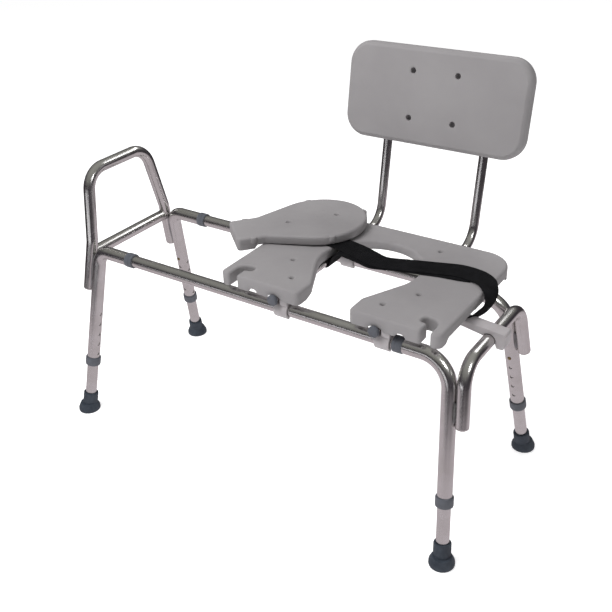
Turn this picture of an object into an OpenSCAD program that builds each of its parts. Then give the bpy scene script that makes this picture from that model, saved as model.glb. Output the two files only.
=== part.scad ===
// Bath transfer bench: a sliding commode seat on a splayed tube frame.
// Millimetres. +X runs along the rails away from the armrest, +Y towards the backrest, +Z up.
// The origin is on the floor, at the middle of the bench's bounding box.

/* [Frame] */
// Height of the rail centre lines above the floor, legs fully in
rail_height = 396; // [380:1:420]
// Half the distance between the two rails
rail_y = 121; // [115:1:128]
// Distance of each leg's top corner from the middle of the frame
leg_top_x = 425; // [415:1:435]
// Distance of each foot from the middle of the frame, along the rails
foot_x = 465; // [455:1:475]
// Distance of each foot from the middle of the frame, across the rails
foot_y = 200; // [190:1:215]
// Outside diameter of the leg tubes
leg_d = 28.6; // [28.4:0.1:29]
// Outside diameter of the rails, armrest, end tube and leg extensions
rail_d = 25.4; // [25:0.1:25.4]
// Wall of the frame tubes
tube_wall = 1.5; // [1.2:0.1:2]
// Centre line radius of the leg bends at the armrest end
left_bend = 30; // [28:1:40]
// Centre line radius of the leg bends at the other end
right_bend = 60; // [55:1:80]
// Distance of the left rail collars from the middle of the frame
left_collar_x = 330; // [325:1:335]
// Distance of the right rail collars from the middle of the frame
right_collar_x = 325; // [322:1:330]

/* [Legs] */
// Distance down each leg from its top corner to the bottom of its tube
leg_tube_len = 281; // [275:1:290]
// Distance down each leg to the top hole of the row that faces along the rails
first_hole = 151.4; // [148:0.1:156]
// How much higher the other row starts, which the snap button uses
row_rise = 14; // [0:0.5:15]
// Spacing of the adjustment holes
hole_pitch = 25.4; // [22:0.1:26]
// Number of adjustment holes in a row
hole_count = 5; // [3:1:5]
// Diameter of the adjustment holes
hole_d = 8; // [7:0.1:9]
// Diameter of a rubber foot where it meets the floor
foot_d = 50; // [46:1:56]

/* [Ends] */
// Height of the armrest's top bar centre line
armrest_height = 564; // [540:1:600]
// Centre line radius of the armrest's top bends
armrest_bend = 50; // [40:1:60]
// Height of the armrest's cross brace
brace_height = 385; // [378:1:395]
// Height of the end tube's centre line
end_height = 393; // [390:0.5:394]
// Centre line radius of the end tube's bends
end_bend = 50; // [40:1:60]

/* [Seat] */
// Distance of the seat's middle from the middle of the frame, when latched
seat_x = 172; // [170:1:173]
// Width of the seat along the rails
seat_w = 479; // [470:1:482]
// Distance of the seat's front edge from the middle of the frame
seat_front = 138; // [136:1:142]
// Distance of the seat's rear edge from the middle of the frame
seat_rear = 201; // [198:1:206]
// Thickness of the seat's plate
seat_t = 19; // [18:0.5:22]
// Depth of the seat's skirt
skirt_depth = 29; // [27:0.5:29.5]
// Radius of the keyhole's round end
keyhole_r = 103.5; // [100:0.5:104]
// Distance of the keyhole's round end from the frame's middle line
keyhole_y = 34; // [32:1:36]
// Half the width of the keyhole's channel
channel_half = 55; // [52:1:56]
// Distance of each cross tube from the middle of the seat
cross_x = 111; // [109:0.5:112]

/* [Insert] */
// Radius of the insert's round end
insert_r = 101.5; // [98:0.5:102]
// Half the width of the insert's neck
insert_neck = 50.5; // [48:0.5:52]
// Thickness of the insert's plate
insert_t = 20; // [18:0.5:21]
// Distance from the middle of the insert's round end to its front end
insert_reach = 189; // [183:1:190]
// Turn of the insert where it lies on the seat
insert_turn = -42; // [-44:1:-41]

/* [Backrest] */
// Outside diameter of the backrest posts and cross tubes
post_d = 19; // [18.8:0.1:19.2]
// Lean of the backrest
recline = 10; // [8:1:12]
// Width of the backrest panel
back_w = 404; // [390:1:420]
// Height of the backrest panel
back_h = 198; // [190:1:210]
// Thickness of the backrest panel
back_t = 28; // [26:1:30]

/* [Hidden] */
$fn = 64;

// Clearances
slip = 0.075;         // radial, between tubes that slide in one another
touch = 0.3;          // between curved faces on different bodies
over = 1;             // overshoot of a cut past the face it opens
seam = 0.05;          // how far a tube's straights reach into its bends

// Leg geometry
lean_y = atan((foot_y - rail_y) / rail_height);
lean_x = atan((foot_x - leg_top_x) * cos(lean_y) / rail_height);
leg_len = rail_height / cos(lean_y) / cos(lean_x);
leg_bore = rail_d + 2 * slip;
collar_d = 34.5;
collar_h = 21;
collar_lip = 4;
button_down = first_hole - row_rise;
extension_top = button_down - 42;
foot_h = 20;
foot_rim = 7;
foot_floor = 10;      // rubber under the extension tube, along the leg
foot_sleeve_d = 34;
foot_sleeve_h = 40;

// Frame ends: the end tubes lie against the legs' outer sides
end_offset = (leg_d + rail_d) / 2 + 0.05;
end_tube_len = 120;   // down the leg from its top corner
armrest_tube_len = 97;
armrest_top_x = 460.7;
armrest_top_y = 87.2;
armrest_kink = 12.6;  // up the leg's line from its top corner
armrest_kink_bend = 60;
cap_h = 7;            // dome of a tube's end cap

// Snap buttons
button_d = 7.8;
button_base = 5;      // from the leg's axis
button_out = 2.5;     // proud of the leg tube
leaf = 0.7;
leaf_w = 6;
leaf_up = 34;         // above the button
leaf_down = 8;        // below the button

// Seat carriage heights
rail_top = rail_height + rail_d / 2;
glide_gap = touch;
glide_top = 2;        // nylon between the rail and the cross tube
post_z = rail_top + glide_gap + glide_top + post_d / 2;
seat_bottom = post_z + post_d / 2 + 0.05;
seat_top = seat_bottom + seat_t;
seat_left = seat_x - seat_w / 2;
seat_right = seat_x + seat_w / 2;
skirt_w = 12;
channel_wall = 9;     // the skirt beside the mouth of the keyhole's channel
flare = 26;           // angle of the keyhole's flared sides to the channel

// Posts and backrest
post_wall = 1.2;
post_bend = 50;
post_y = 272;         // where the cross tube's and post's centre lines meet
post_front = seat_front + 4;
post_len = 345;       // from that corner to the post's hidden top
back_y = 268;         // front face of the backrest at its lower edge
back_z = 613;
sleeve_d = 27;        // sleeves on the backrest's back, round the posts
sleeve_len = back_h - 14;
post_at_back = post_y + (back_z - post_z) * tan(recline) - back_y;
post_back = post_at_back * cos(recline);

// Insert, lying on the seat and the belt
insert_x = -8;
insert_y = 132;
insert_deep = 28;     // thickness of the neck's front end
insert_deep_len = 38;
insert_gap = 0.5;
insert_tilt = 1.4;
nub = 3;

// Latch
latch_w = 28;
latch_y = -11;
pivot_x = 385;
pivot_z = 414.5;
pin_d = 5;
arm_t = 8;
jaw_x = 485;
jaw_bottom = 380;

// Belt
belt_t = 2.6;
belt_gap = 0.15;

// Origin: middle of the bounding box, on the floor
depth_front = -(foot_y + foot_d / 2);
depth_rear = back_y + (post_back + sleeve_d / 2) * cos(recline)
  + (sleeve_len + 4) * sin(recline);
depth_middle = (depth_front + depth_rear) / 2;

// Colours
aluminium = [0.80, 0.80, 0.82];
grey_plastic = [0.62, 0.61, 0.62];
slate = [0.30, 0.33, 0.38];
nylon = [0.86, 0.84, 0.84];
steel = [0.55, 0.54, 0.52];
black = [0.05, 0.05, 0.06];

// ---------- placing ----------

// From the frame's own middle line to the origin
module bench() {
  translate([0, -depth_middle, 0]) children();
}

// A leg's top corner, leaned across the rails. Each side is -1 or 1.
module leg_plane(side_x, side_y) {
  translate([side_x * leg_top_x, side_y * rail_y, rail_height])
    rotate([side_y * lean_y, 0, 0])
      children();
}

// A leg's own frame: -Z runs down the leg
module on_leg(side_x, side_y) {
  leg_plane(side_x, side_y)
    rotate([0, -side_x * lean_x, 0])
      children();
}

// On a leg, +Y turned to face the middle of the bench
module inward(side_y) {
  mirror([0, side_y > 0 ? 1 : 0, 0]) children();
}

// The backrest's own frame: x across, y back through it, z up its face
module at_back() {
  translate([seat_x, back_y, back_z])
    rotate([-recline, 0, 0])
      children();
}

// ---------- bent tubes ----------

function unit(v) = v / norm(v);

// How far a corner turns, and how far its bend reaches along each side
function turn(points, i) =
  acos(unit(points[i] - points[i - 1]) * unit(points[i + 1] - points[i]));
function reach(points, bends, i) =
  i == 0 || i == len(points) - 1 ? 0 : bends[i] * tan(turn(points, i) / 2);

module straight(start, stop, d) {
  along = unit(stop - start);
  side = unit(cross(along, abs(along[2]) < 0.9 ? [0, 0, 1] : [0, 1, 0]));
  up = cross(along, side);
  multmatrix([
    [side[0], up[0], along[0], start[0]],
    [side[1], up[1], along[1], start[1]],
    [side[2], up[2], along[2], start[2]]
  ])
    cylinder(d = d, h = norm(stop - start));
}

module bend(before, corner, after, radius, d) {
  into = unit(corner - before);
  out = unit(after - corner);
  angle = acos(into * out);
  start = corner - into * radius * tan(angle / 2);
  middle = corner + unit(out - into) * radius / cos(angle / 2);
  x = unit(start - middle);
  z = cross(x, into);
  multmatrix([
    [x[0], into[0], z[0], middle[0]],
    [x[1], into[1], z[1], middle[1]],
    [x[2], into[2], z[2], middle[2]]
  ])
    rotate_extrude(angle = angle)
      translate([radius, 0])
        circle(d = d);
}

// A rod through corner points, each inner corner bent to its own radius. A bend is a hair
// thinner than the straights, and they reach a hair into it, so the solids join cleanly.
module bent_rod(points, bends, d, extra = 0) {
  last = len(points) - 1;
  for (i = [0 : last - 1]) {
    along = unit(points[i + 1] - points[i]);
    straight(
      points[i] + along * (reach(points, bends, i) - (i == 0 ? extra : seam)),
      points[i + 1] - along * (reach(points, bends, i + 1) - (i == last - 1 ? extra : seam)),
      d);
  }
  for (i = [1 : last - 1])
    bend(points[i - 1], points[i], points[i + 1], bends[i], d - seam / 2);
}

module bent_tube(points, bends, d, wall) {
  difference() {
    bent_rod(points, bends, d);
    bent_rod(points, bends, d - 2 * wall, over);
  }
}

// ---------- frame ----------

// A rail, from inside the left leg's sleeve to inside the right leg's sleeve
module rail(side_y) {
  left = left_collar_x + 45;
  right = right_collar_x + 20;
  color(aluminium) bench()
    translate([-left, side_y * rail_y, rail_height])
      rotate([0, 90, 0])
        difference() {
          cylinder(d = rail_d, h = left + right);
          translate([0, 0, -over])
            cylinder(d = rail_d - 2 * tube_wall, h = left + right + 2 * over);
        }
}

// Holes in two rows: facing the middle across the rails, and facing it along them
module adjustment_holes(side_x, side_y) {
  for (i = [0 : hole_count - 1])
    translate([0, 0, -i * hole_pitch]) {
      translate([0, 0, -button_down])
        inward(side_y) rotate([-90, 0, 0]) cylinder(d = hole_d, h = leg_d);
      translate([0, 0, -first_hole])
        rotate([0, -side_x * 90, 0]) cylinder(d = hole_d, h = leg_d);
    }
}

module leg_path(side_x, d, extra) {
  sleeve = leg_top_x - (side_x < 0 ? left_collar_x : right_collar_x);
  bend_r = side_x < 0 ? left_bend : right_bend;
  mirror([side_x < 0 ? 1 : 0, 0, 0])
    bent_rod(
      [[-sleeve, 0, 0], [0, 0, 0], leg_tube_len * [sin(lean_x), 0, -cos(lean_x)]],
      [0, bend_r, 0], d, extra);
}

// A leg: a sleeve over the rail's end, a bend, and the leg's upper tube
module leg(side_x, side_y) {
  color(aluminium) bench() difference() {
    leg_plane(side_x, side_y) leg_path(side_x, leg_d, 0);
    leg_plane(side_x, side_y) leg_path(side_x, leg_bore, over);
    on_leg(side_x, side_y) adjustment_holes(side_x, side_y);
  }
}

// A ring at the end of each leg's sleeve, stepped to fit the rail and the sleeve
module rail_collars() {
  ring = 20;
  color(slate) bench()
    for (side_x = [-1, 1], side_y = [-1, 1])
      translate([side_x * (side_x < 0 ? left_collar_x : right_collar_x), side_y * rail_y, rail_height])
        rotate([0, side_x * 90, 0])
          difference() {
            translate([0, 0, -ring / 2]) cylinder(d = 31.6, h = ring);
            cylinder(d = leg_d, h = ring);
            translate([0, 0, -ring]) cylinder(d = rail_d, h = 2 * ring);
          }
}

// A screw head under each leg's sleeve, next to its rail collar
module rail_screws() {
  color(steel) bench()
    for (side_x = [-1, 1], side_y = [-1, 1])
      leg_plane(side_x, side_y)
        translate([-side_x * (leg_top_x - (side_x < 0 ? left_collar_x : right_collar_x) - 17), 0, 0])
          rotate([-side_y * lean_y, 0, 0])
            translate([0, 0, -leg_d / 2 - 2.2])
              difference() {
                cylinder(d = 7, h = 4);
                translate([0, 0, leg_d / 2 + 2.2])
                  rotate([0, 90, 0]) cylinder(d = leg_d, h = 20, center = true);
              }
}

module leg_collars() {
  color(slate) bench()
    for (side_x = [-1, 1], side_y = [-1, 1])
      on_leg(side_x, side_y)
        translate([0, 0, -leg_tube_len - collar_lip])
          difference() {
            cylinder(d = collar_d, h = collar_h);
            translate([0, 0, collar_lip]) cylinder(d = leg_d, h = collar_h);
            translate([0, 0, -over]) cylinder(d = leg_bore, h = collar_h);
          }
}

// A point beside a leg's line, measured down the leg and away from the rails
function beside_leg(side_x, side_y, down, off) =
  let (
    x = off * cos(lean_x) + down * sin(lean_x),
    z = off * sin(lean_x) - down * cos(lean_x))
  [side_x * (leg_top_x + x), side_y * (rail_y - z * sin(lean_y)), rail_height + z * cos(lean_y)];

// The corner where an end tube's leg part meets the height z
function end_corner(side_x, side_y, z) =
  let (down = (rail_height - z) / cos(lean_y) / cos(lean_x) + end_offset * tan(lean_x))
  beside_leg(side_x, side_y, down, end_offset);

function end_points() = [
  beside_leg(1, -1, end_tube_len, end_offset),
  end_corner(1, -1, end_height),
  end_corner(1, 1, end_height),
  beside_leg(1, 1, end_tube_len, end_offset)
];

function armrest_points() = [
  beside_leg(-1, -1, armrest_tube_len, end_offset),
  beside_leg(-1, -1, -armrest_kink, end_offset),
  [-armrest_top_x, -armrest_top_y, armrest_height],
  [-armrest_top_x, armrest_top_y, armrest_height],
  beside_leg(-1, 1, -armrest_kink, end_offset),
  beside_leg(-1, 1, armrest_tube_len, end_offset)
];

module end_tube() {
  color(aluminium) bench()
    bent_tube(end_points(), [0, end_bend, end_bend, 0], rail_d, tube_wall);
}

module armrest_rod(d) {
  bent_rod(armrest_points(),
    [0, armrest_kink_bend, armrest_bend, armrest_bend, armrest_kink_bend, 0], d);
}

module armrest_tube() {
  color(aluminium) bench()
    bent_tube(armrest_points(),
      [0, armrest_kink_bend, armrest_bend, armrest_bend, armrest_kink_bend, 0],
      rail_d, tube_wall);
}

module armrest_brace() {
  a = end_corner(-1, -1, brace_height);
  b = end_corner(-1, 1, brace_height);
  color(aluminium) bench() difference() {
    straight(a, b, rail_d);
    straight(a, b, rail_d - 2 * tube_wall);
    armrest_rod(rail_d);
  }
}

// Domed caps in the lower ends of the armrest and the end tube
module tube_end_caps() {
  color(aluminium) bench()
    for (side_x = [-1, 1], side_y = [-1, 1])
      on_leg(side_x, side_y)
        translate([side_x * end_offset, 0, -(side_x < 0 ? armrest_tube_len : end_tube_len)])
          rotate([180, 0, 0]) {
            rotate_extrude()
              polygon([
                [0, 0],
                for (a = [0 : 15 : 90]) [rail_d / 2 * cos(a), cap_h * sin(a)]
              ]);
            translate([0, 0, -12]) cylinder(d = rail_d - 2 * tube_wall, h = 12);
          }
}

// ---------- leg extensions ----------

module extension(side_x, side_y) {
  bottom = leg_len - foot_floor;
  color(aluminium) bench() on_leg(side_x, side_y) difference() {
    translate([0, 0, -bottom]) cylinder(d = rail_d, h = bottom - extension_top);
    translate([0, 0, -bottom - over])
      cylinder(d = rail_d - 2 * tube_wall, h = bottom - extension_top + 2 * over);
    translate([0, 0, -button_down])
      inward(side_y) rotate([-90, 0, 0]) cylinder(d = hole_d, h = rail_d);
  }
}

// A rubber foot: a flared base that stands flat, and a sleeve that follows the leg
module foot(side_x, side_y) {
  shoulder = foot_h - foot_rim;
  color(slate) bench() difference() {
    union() {
      translate([side_x * foot_x, side_y * foot_y, 0])
        rotate_extrude()
          polygon([
            [0, 0],
            [foot_d / 2 - 1.5, 0],
            [foot_d / 2, 1.5],
            for (a = [0 : 15 : 90])
              [foot_d / 2 - shoulder / 2 * (1 - cos(a)), foot_rim + shoulder * sin(a)],
            [0, foot_h]
          ]);
      on_leg(side_x, side_y)
        translate([0, 0, -leg_len + foot_floor - 4])
          cylinder(d = foot_sleeve_d, h = foot_sleeve_h);
    }
    on_leg(side_x, side_y)
      translate([0, 0, -leg_len + foot_floor])
        cylinder(d = rail_d, h = foot_sleeve_h);
  }
}

// A snap button: a pin with a domed head, standing out of the top adjustment hole
module button(side_x, side_y) {
  stem = leg_d / 2 + button_out - button_base - button_d / 4;
  color(steel) bench() on_leg(side_x, side_y)
    translate([0, 0, -button_down])
      inward(side_y) rotate([-90, 0, 0])
        translate([0, 0, button_base]) {
          cylinder(d = button_d, h = stem);
          translate([0, 0, stem])
            rotate_extrude()
              polygon([
                [0, 0],
                for (a = [0 : 15 : 90]) [button_d / 2 * cos(a), button_d / 4 * sin(a)]
              ]);
        }
}

// The folded leaf spring inside an extension, behind its button
module spring(side_x, side_y) {
  near = button_base - 0.1;
  far = -(rail_d / 2 - tube_wall - 0.6);
  color(steel) bench() on_leg(side_x, side_y)
    translate([0, 0, -button_down])
      inward(side_y) rotate([90, 0, 90])
        translate([0, 0, -leaf_w / 2])
          linear_extrude(leaf_w) {
            translate([near - leaf, -leaf_down]) square([leaf, leaf_up + leaf_down]);
            translate([far, -leaf_down]) square([leaf, leaf_up + leaf_down]);
            translate([far, leaf_up - leaf]) square([near - far, leaf]);
          }
}

// ---------- seat carriage ----------

// A keyhole outline with its round end at the origin and its channel along -Y. The flared sides
// start a hair inside the circle, so that they cross it cleanly.
module keyhole(radius, half, len_front) {
  tangent = (radius - 0.1) * [cos(flare), -sin(flare)];
  narrow = tangent[1] - (tangent[0] - half) / tan(flare);
  circle(r = radius);
  polygon([
    [-tangent[0], tangent[1]],
    [-half, narrow],
    [-half, -len_front],
    [half, -len_front],
    [half, narrow],
    [tangent[0], tangent[1]]
  ]);
}

// A rectangle with its own corner radius at the front and at the rear
module rounded_plate(inset) {
  front_r = 25 - inset;
  rear_r = 60 - inset;
  left = seat_left + inset;
  right = seat_right - inset;
  front = -seat_front + inset;
  rear = seat_rear - inset;
  for (side = [0, 1])
    translate([side * (left + right), 0])
      mirror([side, 0]) {
        translate([left + front_r, front + front_r]) circle(r = front_r);
        translate([left + rear_r, rear - rear_r]) circle(r = rear_r);
      }
  translate([left, front + front_r]) square([right - left, rear - rear_r - front - front_r]);
  translate([left + front_r, front]) square([right - left - 2 * front_r, front_r + over]);
  translate([left + rear_r, rear - rear_r - over])
    square([right - left - 2 * rear_r, rear_r + over]);
}

// The slot for a shower hose in a front corner: in from the front, then a hook
module hose_notch() {
  slot_w = 17.5;
  slot_x = -seat_w / 2 + 30.3;
  slot_y = -98;
  translate([slot_x - slot_w / 2, -seat_front - over]) square([slot_w, slot_y + seat_front + over]);
  translate([slot_x, slot_y]) circle(d = slot_w);
  translate([slot_x, slot_y - slot_w / 2]) square([8, slot_w]);
  translate([slot_x + 8, slot_y]) circle(d = slot_w);
}

module both_sides() {
  children();
  mirror([1, 0, 0]) children();
}

// The moulded seat: a plate with a keyhole and drain holes, and a skirt round it
module seat_panel() {
  color(grey_plastic) bench() difference() {
    translate([0, 0, seat_top - skirt_depth])
      linear_extrude(skirt_depth) rounded_plate(0);
    translate([0, 0, seat_top - skirt_depth - over])
      linear_extrude(skirt_depth - seat_t + over) difference() {
        rounded_plate(skirt_w);
        translate([seat_x - channel_half - channel_wall, -seat_front])
          square([2 * (channel_half + channel_wall), 40]);
      }
    translate([seat_x, 0, seat_bottom - 20])
      linear_extrude(60) {
        translate([0, keyhole_y]) keyhole(keyhole_r, channel_half, seat_front + keyhole_y + over);
        both_sides() {
          hose_notch();
          translate([100.5, -90]) circle(d = 8);
          translate([140.5, -26]) circle(d = 8);
          translate([97, 152]) circle(d = 8);
        }
      }
    // Small slots in the keyhole's wall for the insert's nubs
    translate([seat_x, keyhole_y, seat_bottom - over]) {
      both_sides() translate([keyhole_r - 2, -5, 0]) cube([6, 10, 10]);
      translate([-5, keyhole_r - 2, 0]) cube([10, 6, 10]);
    }
    // Arches in the front and rear skirt over the cross tubes
    for (side = [-1, 1])
      translate([seat_x + side * cross_x, 0, post_z])
        rotate([90, 0, 0]) cylinder(d = post_d + 0.1, h = 600, center = true);
    for (side = [-1, 1])
      translate([seat_x + side * cross_x - 16, -seat_front - over, 400])
        cube([32, seat_front + seat_rear + 2 * over, seat_bottom - 401]);
    for (side = [-1, 1])
      translate([seat_x + side * 161, 0, seat_bottom - 8])
        rotate([90, 0, 0]) cylinder(d = 16, h = seat_front + over);
    // Room for the latch arm under the right edge
    translate([pivot_x, latch_y - latch_w / 2 - 3, 400])
      cube([40, latch_w + 6, seat_bottom - 400]);
  }
}

function post_points(side) =
  let (x = seat_x + side * cross_x)
  [
    [x, -post_front, post_z],
    [x, post_y, post_z],
    [x, post_y + post_len * sin(recline), post_z + post_len * cos(recline)]
  ];

module post(side) {
  color(aluminium) bench()
    bent_tube(post_points(side), [0, post_bend, 0], post_d, post_wall);
}

// Rounded plugs in the front ends of the cross tubes
module post_end_plugs() {
  color(slate) bench()
    for (side = [-1, 1])
      translate([seat_x + side * cross_x, -post_front, post_z])
        rotate([90, 0, 0]) {
          rotate_extrude()
            polygon([
              [0, 0], [post_d / 2, 0],
              for (a = [0 : 15 : 90]) [post_d / 2 - 3 + 3 * cos(a), 2 + 3 * sin(a)],
              [0, 5]
            ]);
          translate([0, 0, -12]) cylinder(d = post_d - 2 * post_wall, h = 12);
        }
}

// A nylon clip round a rail, under and beside a cross tube
module glide(side_x, side_y) {
  inner = rail_d / 2 + glide_gap;
  outer = inner + 5;
  x = seat_x + side_x * cross_x;
  color(nylon) bench() difference() {
    translate([x - 2, side_y * rail_y, rail_height])
      rotate([0, 90, 0]) cylinder(r = outer, h = 30);
    translate([x - 3, side_y * rail_y, rail_height])
      rotate([0, 90, 0]) cylinder(r = inner, h = 32);
    translate([x - 3, side_y * (rail_y - 5) - 5, rail_height - 30])
      cube([32, 10, 25]);
    translate([x, 0, post_z])
      rotate([90, 0, 0]) cylinder(d = post_d, h = 400, center = true);
  }
}

// The backrest: a rounded panel with four holes and two sleeves moulded on its back
module backrest_panel() {
  corner = 47;
  bore = post_len - (back_z - post_z) * cos(recline) + (post_y - back_y) * sin(recline) + 0.2;
  color(grey_plastic) bench() at_back() difference() {
    union() {
      rotate([90, 0, 0]) translate([0, 0, -back_t])
        linear_extrude(back_t) {
          for (side = [-1, 1], z = [corner, back_h - corner])
            translate([side * (back_w / 2 - corner), z]) circle(r = corner);
          translate([-back_w / 2, corner]) square([back_w, back_h - 2 * corner]);
          translate([-back_w / 2 + corner, 0]) square([back_w - 2 * corner, back_h]);
        }
      for (side = [-1, 1])
        translate([side * cross_x, post_back, 4]) cylinder(d = sleeve_d, h = sleeve_len);
    }
    for (side = [-1, 1])
      translate([side * cross_x, post_back, -over])
        cylinder(d = post_d, h = over + bore);
    for (side = [-1, 1], z = [54.5, 150])
      translate([side * 49.5, back_t + over, z])
        rotate([90, 0, 0]) cylinder(d = 10, h = back_t + 2 * over);
  }
}

// ---------- latch ----------

// A hanger under the seat's plate that holds the latch arm's pin
module latch_bracket() {
  cheek = 4;
  inside = latch_w + 1;
  color(grey_plastic) bench()
    translate([pivot_x, latch_y, 0]) difference() {
      translate([-22, -inside / 2 - cheek, pivot_z - 6])
        cube([28, inside + 2 * cheek, seat_bottom - pivot_z + 6]);
      translate([-14, -inside / 2, pivot_z - 7])
        cube([28, inside, seat_bottom - pivot_z + 3]);
      translate([0, 0, pivot_z])
        rotate([90, 0, 0]) cylinder(d = pin_d, h = inside + 3 * cheek, center = true);
    }
}

module latch_pin() {
  color(steel) bench()
    translate([pivot_x, latch_y, pivot_z])
      rotate([90, 0, 0]) cylinder(d = pin_d, h = latch_w + 9, center = true);
}

// The nylon latch arm: it runs out over the end tube, and its jaw hooks down outside it
module latch_arm() {
  tube_x = end_corner(1, 1, end_height)[0];
  seat_r = rail_d / 2 + touch;
  wrap = 18;          // how far the jaw follows the tube below its middle
  color(nylon) bench()
    translate([0, latch_y + latch_w / 2, 0])
      rotate([90, 0, 0])
        linear_extrude(latch_w)
          difference() {
            union() {
              translate([pivot_x, pivot_z]) circle(d = 10);
              polygon([
                [pivot_x, pivot_z - 5],
                [tube_x - 14, end_height + seat_r + 1],
                [tube_x, end_height],
                [tube_x + seat_r * cos(wrap), end_height - seat_r * sin(wrap)],
                [tube_x + seat_r + 2.5, jaw_bottom],
                [jaw_x - 5, jaw_bottom],
                [jaw_x, jaw_bottom + 7],
                [jaw_x, 409],
                [jaw_x - 4, 413],
                [pivot_x + 22, pivot_z + 4.8],
                [pivot_x, pivot_z + 5]
              ]);
            }
            translate([tube_x, end_height]) circle(r = seat_r);
            translate([pivot_x, pivot_z]) circle(d = pin_d + 2 * slip);
          }
}

// ---------- belt ----------

// The belt's thickness seen from the front: round the left cross tube, up through the
// keyhole, over the seat and its right edge, and back under it
module belt_side() {
  low = seat_top + belt_gap;
  left_x = seat_x - cross_x;
  inner = post_d / 2 + 0.3;
  edge = seat_right + 3;
  difference() {
    translate([left_x, post_z]) circle(r = inner + belt_t);
    translate([left_x, post_z]) circle(r = inner);
    translate([left_x - 20, post_z + 5]) square([40, 20]);
  }
  polygon([
    [left_x + inner, post_z], [left_x + inner + belt_t, post_z],
    [left_x + 26, 429.5], [left_x + 34, low - 4], [left_x + 44, low], [edge - 3, low],
    [edge, low - 3], [edge + 1, 432], [edge, 421], [edge - 4, 417], [edge - 12, 416.4],
    [360, 416.4], [360, 416.4 - belt_t], [edge - 11, 416.4 - belt_t], [edge - 2, 414.5],
    [edge + 3, 419.5], [edge + 1 + belt_t, 432], [edge + belt_t, low - 1],
    [edge - 1, low + belt_t], [left_x + 43, low + belt_t], [left_x + 30, low - 1],
    [left_x + 21.5, 429]
  ]);
}

// The belt seen from above
module belt_plan() {
  polygon([
    [40, 84], [82, 84], [95, 95], [105, 98], [198, 72], [269, 100], [330, 116], [385, 111],
    [424, 70], [424, 34], [400, 10], [360, 10], [360, 64], [318, 55], [230, 40],
    [185, 20], [105, 31], [75, 42], [40, 44]
  ]);
}

module seat_belt() {
  color(black) bench()
    intersection() {
      translate([0, 200, 0]) rotate([90, 0, 0]) linear_extrude(300) belt_side();
      translate([0, 0, 380]) linear_extrude(100) belt_plan();
    }
}

// ---------- insert ----------

// The keyhole's lid, lying upside up on the seat's left rear corner
module seat_insert() {
  nub_y = 154;
  color(grey_plastic) bench()
    translate([seat_left, 0, seat_top + insert_gap]) rotate([0, -insert_tilt, 0])
      translate([insert_x - seat_left, insert_y, 0]) rotate([0, 0, insert_turn])
        difference() {
          union() {
            linear_extrude(insert_t) {
              keyhole(insert_r, insert_neck, insert_reach);
              translate([-5, insert_r - 2]) square([10, nub + 2]);
              both_sides() translate([insert_r - 2, -5]) square([nub + 2, 10]);
              both_sides() translate([insert_neck - 2, -nub_y - 5]) square([nub + 2, 10]);
            }
            translate([-insert_neck, -insert_reach, insert_t - insert_deep])
              cube([2 * insert_neck, insert_deep_len, insert_deep]);
          }
          for (y = [-68, 39])
            translate([0, y, -over]) cylinder(d = 8, h = insert_t + 2 * over);
        }
}

// ---------- parts by name ----------

rail(-1);  // front_rail
rail(1);  // rear_rail
leg(-1, -1);  // leg_front_left
leg(1, -1);  // leg_front_right
leg(-1, 1);  // leg_rear_left
leg(1, 1);  // leg_rear_right
armrest_tube();
armrest_brace();
end_tube();
tube_end_caps();
rail_collars();
rail_screws();
leg_collars();
extension(-1, -1);  // extension_front_left
extension(1, -1);  // extension_front_right
extension(-1, 1);  // extension_rear_left
extension(1, 1);  // extension_rear_right
foot(-1, -1);  // foot_front_left
foot(1, -1);  // foot_front_right
foot(-1, 1);  // foot_rear_left
foot(1, 1);  // foot_rear_right
button(-1, -1);  // button_front_left
button(1, -1);  // button_front_right
button(-1, 1);  // button_rear_left
button(1, 1);  // button_rear_right
spring(-1, -1);  // spring_front_left
spring(1, -1);  // spring_front_right
spring(-1, 1);  // spring_rear_left
spring(1, 1);  // spring_rear_right
seat_panel();
post(-1);  // post_left
post(1);  // post_right
post_end_plugs();
glide(-1, -1);  // glide_front_left
glide(1, -1);  // glide_front_right
glide(-1, 1);  // glide_rear_left
glide(1, 1);  // glide_rear_right
backrest_panel();
latch_bracket();
latch_pin();
latch_arm();
seat_belt();
seat_insert();
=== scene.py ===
"""The bath transfer bench's looks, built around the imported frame.

Points are written in millimetres from the middle of the tube frame, as in the CAD source, and
become metres in the row frame when a mesh is made.
"""

import math

import bmesh
import bpy
from mathutils import Matrix, Vector, geometry


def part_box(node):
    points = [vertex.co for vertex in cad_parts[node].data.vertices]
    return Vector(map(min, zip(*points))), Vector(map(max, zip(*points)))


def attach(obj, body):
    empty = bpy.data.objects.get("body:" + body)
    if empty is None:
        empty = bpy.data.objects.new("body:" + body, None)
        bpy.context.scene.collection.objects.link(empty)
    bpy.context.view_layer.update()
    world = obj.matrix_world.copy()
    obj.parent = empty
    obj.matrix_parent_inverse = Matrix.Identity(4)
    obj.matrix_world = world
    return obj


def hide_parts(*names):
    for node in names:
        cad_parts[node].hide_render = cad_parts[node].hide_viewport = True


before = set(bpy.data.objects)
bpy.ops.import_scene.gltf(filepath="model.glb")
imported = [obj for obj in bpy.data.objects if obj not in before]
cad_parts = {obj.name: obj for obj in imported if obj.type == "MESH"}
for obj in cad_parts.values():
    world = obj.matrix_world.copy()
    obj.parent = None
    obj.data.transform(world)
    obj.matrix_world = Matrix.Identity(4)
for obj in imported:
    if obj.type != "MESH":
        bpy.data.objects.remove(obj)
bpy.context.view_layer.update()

MM = 0.001
X = Vector((1, 0, 0))
Y = Vector((0, 1, 0))
Z = Vector((0, 0, 1))
SIDES = [(-1, -1, "front_left"), (1, -1, "front_right"), (-1, 1, "rear_left"), (1, 1, "rear_right")]


def middle_y(*nodes):
    """The mean of some nodes' middles along Y, in metres."""
    return sum(sum(corner.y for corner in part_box(n)) / 2 for n in nodes) / len(nodes)


DEPTH = middle_y("front_rail", "rear_rail")

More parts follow.
